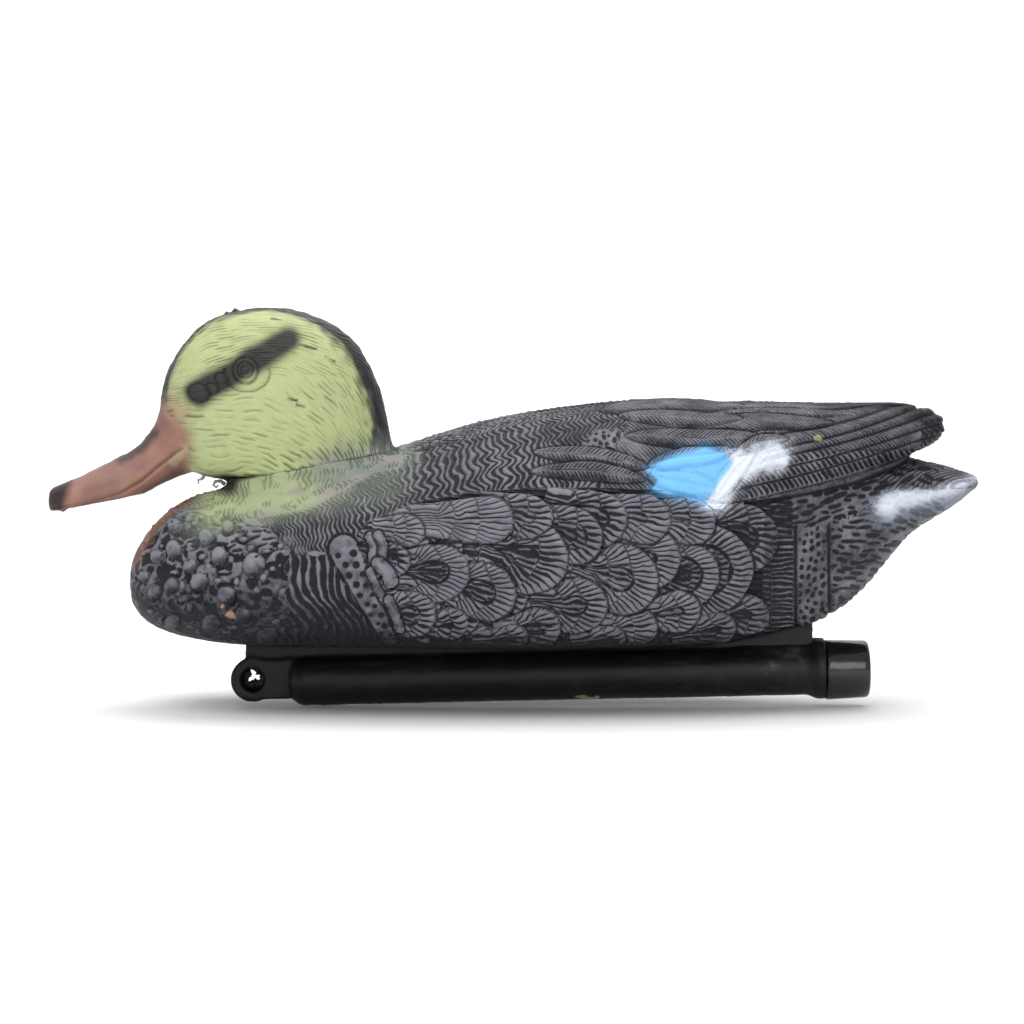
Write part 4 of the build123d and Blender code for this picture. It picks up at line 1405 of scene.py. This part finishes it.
def keel_piece():
    """The keel moulding from its CAD solid, with softened edges and a ragged moulding flash."""
    obj = new_object("keel", new_mesh("keel", cad_surface("keel_tube")))
    with_modifier(obj, "REMESH", mode="VOXEL", voxel_size=FINE)
    relax(obj.data, 5, np.ones(len(obj.data.vertices)), shrink_back=0.5)
    p = coordinates(obj.data)
    x, y, z = p.T
    out = normals(obj.data)
    axis_height = -30.4 + 0.02095 * x
    outside = np.hypot(y, z - axis_height) > 9.3      # the bore and the neck stay plain
    lift = 0.10 * noise(p, 6, 111) + 0.05 * noise(p, 2, 112)
    ragged = 0.25 + 0.35 * noise(p, 2.0, 113) + 0.25 * noise(p, 0.9, 114)
    end = smooth(-86, -92, x) + smooth(112, 117, x) * smooth(-22, -18, z)
    lift += bell(y, 0.55) * np.maximum(ragged, 0) * np.clip(end + 0.25, 0, 1) * 1.3
    moved = p + out * (lift * outside)[:, None]
    moved[:, 2] += smooth(0.3, 0.8, out[:, 2]) * smooth(84, 92, x) * smooth(-21, -19, z)
    set_coordinates(obj.data, moved)
    bm = bmesh.new()
    bm.from_mesh(obj.data)
    eye_film(bm)
    bm.to_mesh(obj.data)
    p = coordinates(obj.data)
    x, y, z = p.T
    chip = line_distance(x, z, [(25, -38.4), (33, -39)]) + 0.8 * noise(p, 1.5, 115)
    scuff = line_distance(x, z, [(100, -27), (112, -20)]) + 3.5 * noise(p, 3, 116)
    store(obj.data, "chip", smooth(1.0, 0.4, chip) * (y < 0))
    store(obj.data, "scuff", smooth(4, -1, scuff) * (y < 0))
    obj.data.shade_smooth()
    return obj


def eye_film(bm):
    """A thin ragged film of flash that half closes the line eye."""
    eye_x, eye_z, eye_radius = LINE_EYE
    rings = []
    for inner in (False, True):
        for y in (-0.3, 0.3):
            ring = []
            for k in range(40):
                a = 2 * math.pi * k / 40
                ragged = 1.7 + 0.9 * math.cos(3 * a + 0.9) + 0.4 * math.sin(7 * a)
                ragged += 0.25 * math.sin(13 * a)
                radius = ragged if inner else eye_radius + 0.5
                shift_x, shift_z = (0.3, 1.3) if inner else (0.0, 0.0)
                ring.append(bm.verts.new((
                    (eye_x + shift_x + radius * math.cos(a)) / 1000, y / 1000,
                    (eye_z + shift_z + radius * math.sin(a)) / 1000,
                )))
            rings.append(ring)
    outer_near, outer_far, inner_near, inner_far = rings
    section = [outer_near, inner_near, inner_far, outer_far]
    for a, b in zip(section, section[1:] + section[:1]):
        bridge(bm, a, b)


def lathe(name, profile, origin, axis, segments=96):
    """A closed solid of revolution from (along, radius) points in millimetres."""
    bm = bmesh.new()
    turn = Vector(axis).to_track_quat("Z", "Y").to_matrix().to_4x4()
    rings = []
    for along, radius in profile:
        ring = []
        for k in range(segments):
            a = 2 * math.pi * k / segments
            ring.append(bm.verts.new((radius * math.cos(a), radius * math.sin(a), along)))
        rings.append(ring)
    for a, b in zip(rings, rings[1:] + rings[:1]):
        bridge(bm, a, b)
    bmesh.ops.remove_doubles(bm, verts=bm.verts, dist=1e-4)
    bmesh.ops.recalc_face_normals(bm, faces=bm.faces)
    bmesh.ops.scale(bm, vec=(0.001, 0.001, 0.001), verts=bm.verts)
    bmesh.ops.transform(bm, matrix=Matrix.Translation(Vector(origin)) @ turn, verts=bm.verts)
    mesh = new_mesh(name, bm)
    mesh.shade_smooth()
    return new_object(name, mesh)


def cap_piece():
    """The push-on cap: a tapered cup with a rolled lip and a rounded rear edge."""
    rise = math.radians(1.2)
    axis = (math.cos(rise), 0.0, math.sin(rise))
    front, rear, bore, floor, corner = 123.9, 141.1, 9.7, 137.7, 1.6
    profile = [(front + 0.5, bore), (front, bore + 0.5), (front, 11.6)]
    profile += [(front + 0.15, 11.9), (front + 0.6, 12.0), (front + 2.2, 11.95)]
    profile += [(front + k, 12.0 - 0.035 * k) for k in np.linspace(3, rear - front - 1.8, 6)]
    for a in np.radians(np.linspace(88, 4, 6)):
        profile.append((rear - corner + corner * math.cos(a), 11.4 - corner + corner * math.sin(a)))
    profile += [(rear, 8.6), (rear - 0.35, 8.2), (rear - 0.4, 5.0), (rear - 0.4, 0.8)]
    profile += [(rear - 0.05, 0.55), (rear, 0.0)]
    profile += [(floor, 0.0), (floor, bore - 0.6), (floor - 0.6, bore)]
    return lathe("cap", profile, (0, 0, -0.0304), axis)


# ---------------------------------------------------------------- stage


def studio():
    """A pale floor that sweeps up behind, soft light all round, and four lamps."""
    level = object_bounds()[0].z - 0.0004
    start, bend = 0.9, 0.8        # where the floor begins to rise, and its radius, m
    outline = [(-2.2, 0.0), (start, 0.0)]
    for a in np.linspace(0.1, math.pi / 2, 10):
        outline.append((start + bend * math.sin(a), bend - bend * math.cos(a)))
    outline.append((start + bend, 3.0))
    bm = bmesh.new()
    rows = [[bm.verts.new((x, y, z + level)) for x in np.linspace(-3, 3, 13)] for y, z in outline]
    for a, b in zip(rows, rows[1:]):
        for k in range(len(a) - 1):
            bm.faces.new((a[k], a[k + 1], b[k + 1], b[k]))
    mesh = new_mesh("floor", bm)
    mesh.shade_smooth()
    floor = new_object("floor", mesh)
    s = Shader("pale_floor", Specular_IOR_Level=0.2)
    wear(floor, s.finish(s.blend(s.noise(40, 2.0), (0.86, 0.86, 0.87), (0.9, 0.9, 0.9)), 0.75))
    world = bpy.data.worlds.new("soft_white")
    bpy.context.scene.world = world
    world.use_nodes = True
    background = world.node_tree.nodes["Background"]
    background.inputs["Color"].default_value = (1.0, 1.0, 1.0, 1.0)
    background.inputs["Strength"].default_value = 0.52
    for name, place, target, size, power in (
        ("key", (-0.6, -1.0, 1.5), (0, 0, 0.02), 1.1, 16.0),
        ("top", (0.2, 0.2, 1.6), (0, 0, 0.02), 1.4, 15.0),
        ("fill", (0.35, -1.55, 0.5), (0, 0, 0.02), 0.7, 4.5),
        ("back", (0.0, 1.1, 1.6), (0, 1.7, 0.6), 1.6, 14.0),
    ):
        lamp = bpy.data.lights.new(name, "AREA")
        lamp.energy, lamp.size = power, size
        aim(new_object(name, lamp), Vector(place), Vector(target))


def aim(obj, place, target):
    """Puts a lamp or a camera at a place and turns it to a target."""
    obj.location = place
    obj.rotation_euler = (target - place).to_track_quat("-Z", "Y").to_euler()


def photo_camera():
    """The camera of the photograph: almost level with the decoy, and square to its side."""
    camera = bpy.data.cameras.new("camera")
    camera.lens, camera.sensor_width = 100.0, 36.0
    camera.clip_start, camera.clip_end = 0.01, 20.0
    obj = new_object("camera", camera)
    target = Vector((-0.0012, 0.0, 0.0352))
    elevation = math.radians(2.0)
    away = Vector((0.0, -math.cos(elevation), math.sin(elevation)))
    aim(obj, target + away * (AWAY / 1000), target)
    bpy.context.scene.camera = obj
    bpy.context.scene.view_settings.view_transform = "Standard"


# ---------------------------------------------------------------- assembly

studio()
photo_camera()
skin = bare_skin()
sculpt(skin)
body, head = split_at_neck(skin)
wear(body, painted_skin("body_paint", groove_shade=0.28, line_edge=0.08, full_cut=0.07))
wear(head, painted_skin("head_paint", groove_shade=0.55, line_edge=0.11, full_cut=0.14))
keel = keel_piece()
wear(keel, bare_plastic(
    "keel_black", (0.0062, 0.0064, 0.0085), (0.046, 0.046, 0.05), rough=0.38, scuffs=0.7, shine=0.3))
cap = cap_piece()
wear(cap, bare_plastic(
    "cap_black", (0.007, 0.007, 0.009), (0.024, 0.024, 0.026), rough=0.1, scuffs=0.2, shine=0.6))

for piece, body_name, node, slot in (
    (body, "decoy", "body_shell", "body_paint"), (head, "decoy", "head_shell", "head_paint"),
    (keel, "decoy", "keel_tube", "keel_black"), (cap, "cap", "keel_cap", "cap_black"),
):
    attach(piece, body_name)
    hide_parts(node)

rubber = bare_plastic("seal_rubber", (0.02, 0.02, 0.02), (0.06, 0.055, 0.05), 0.7, 0.3)
for node, material in (
    ("cap_liner", rubber), ("sealing_ring", rubber),
    ("ballast_sand", grainy("ballast_sand", (0.22, 0.15, 0.08), (0.62, 0.5, 0.33), 0.6, 0.85, 0.0003)),
    ("foam_stopper", grainy("foam", (0.45, 0.44, 0.40), (0.72, 0.71, 0.66), 0.9, 0.9, 0.0004)),
):
    wear(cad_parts[node], material)
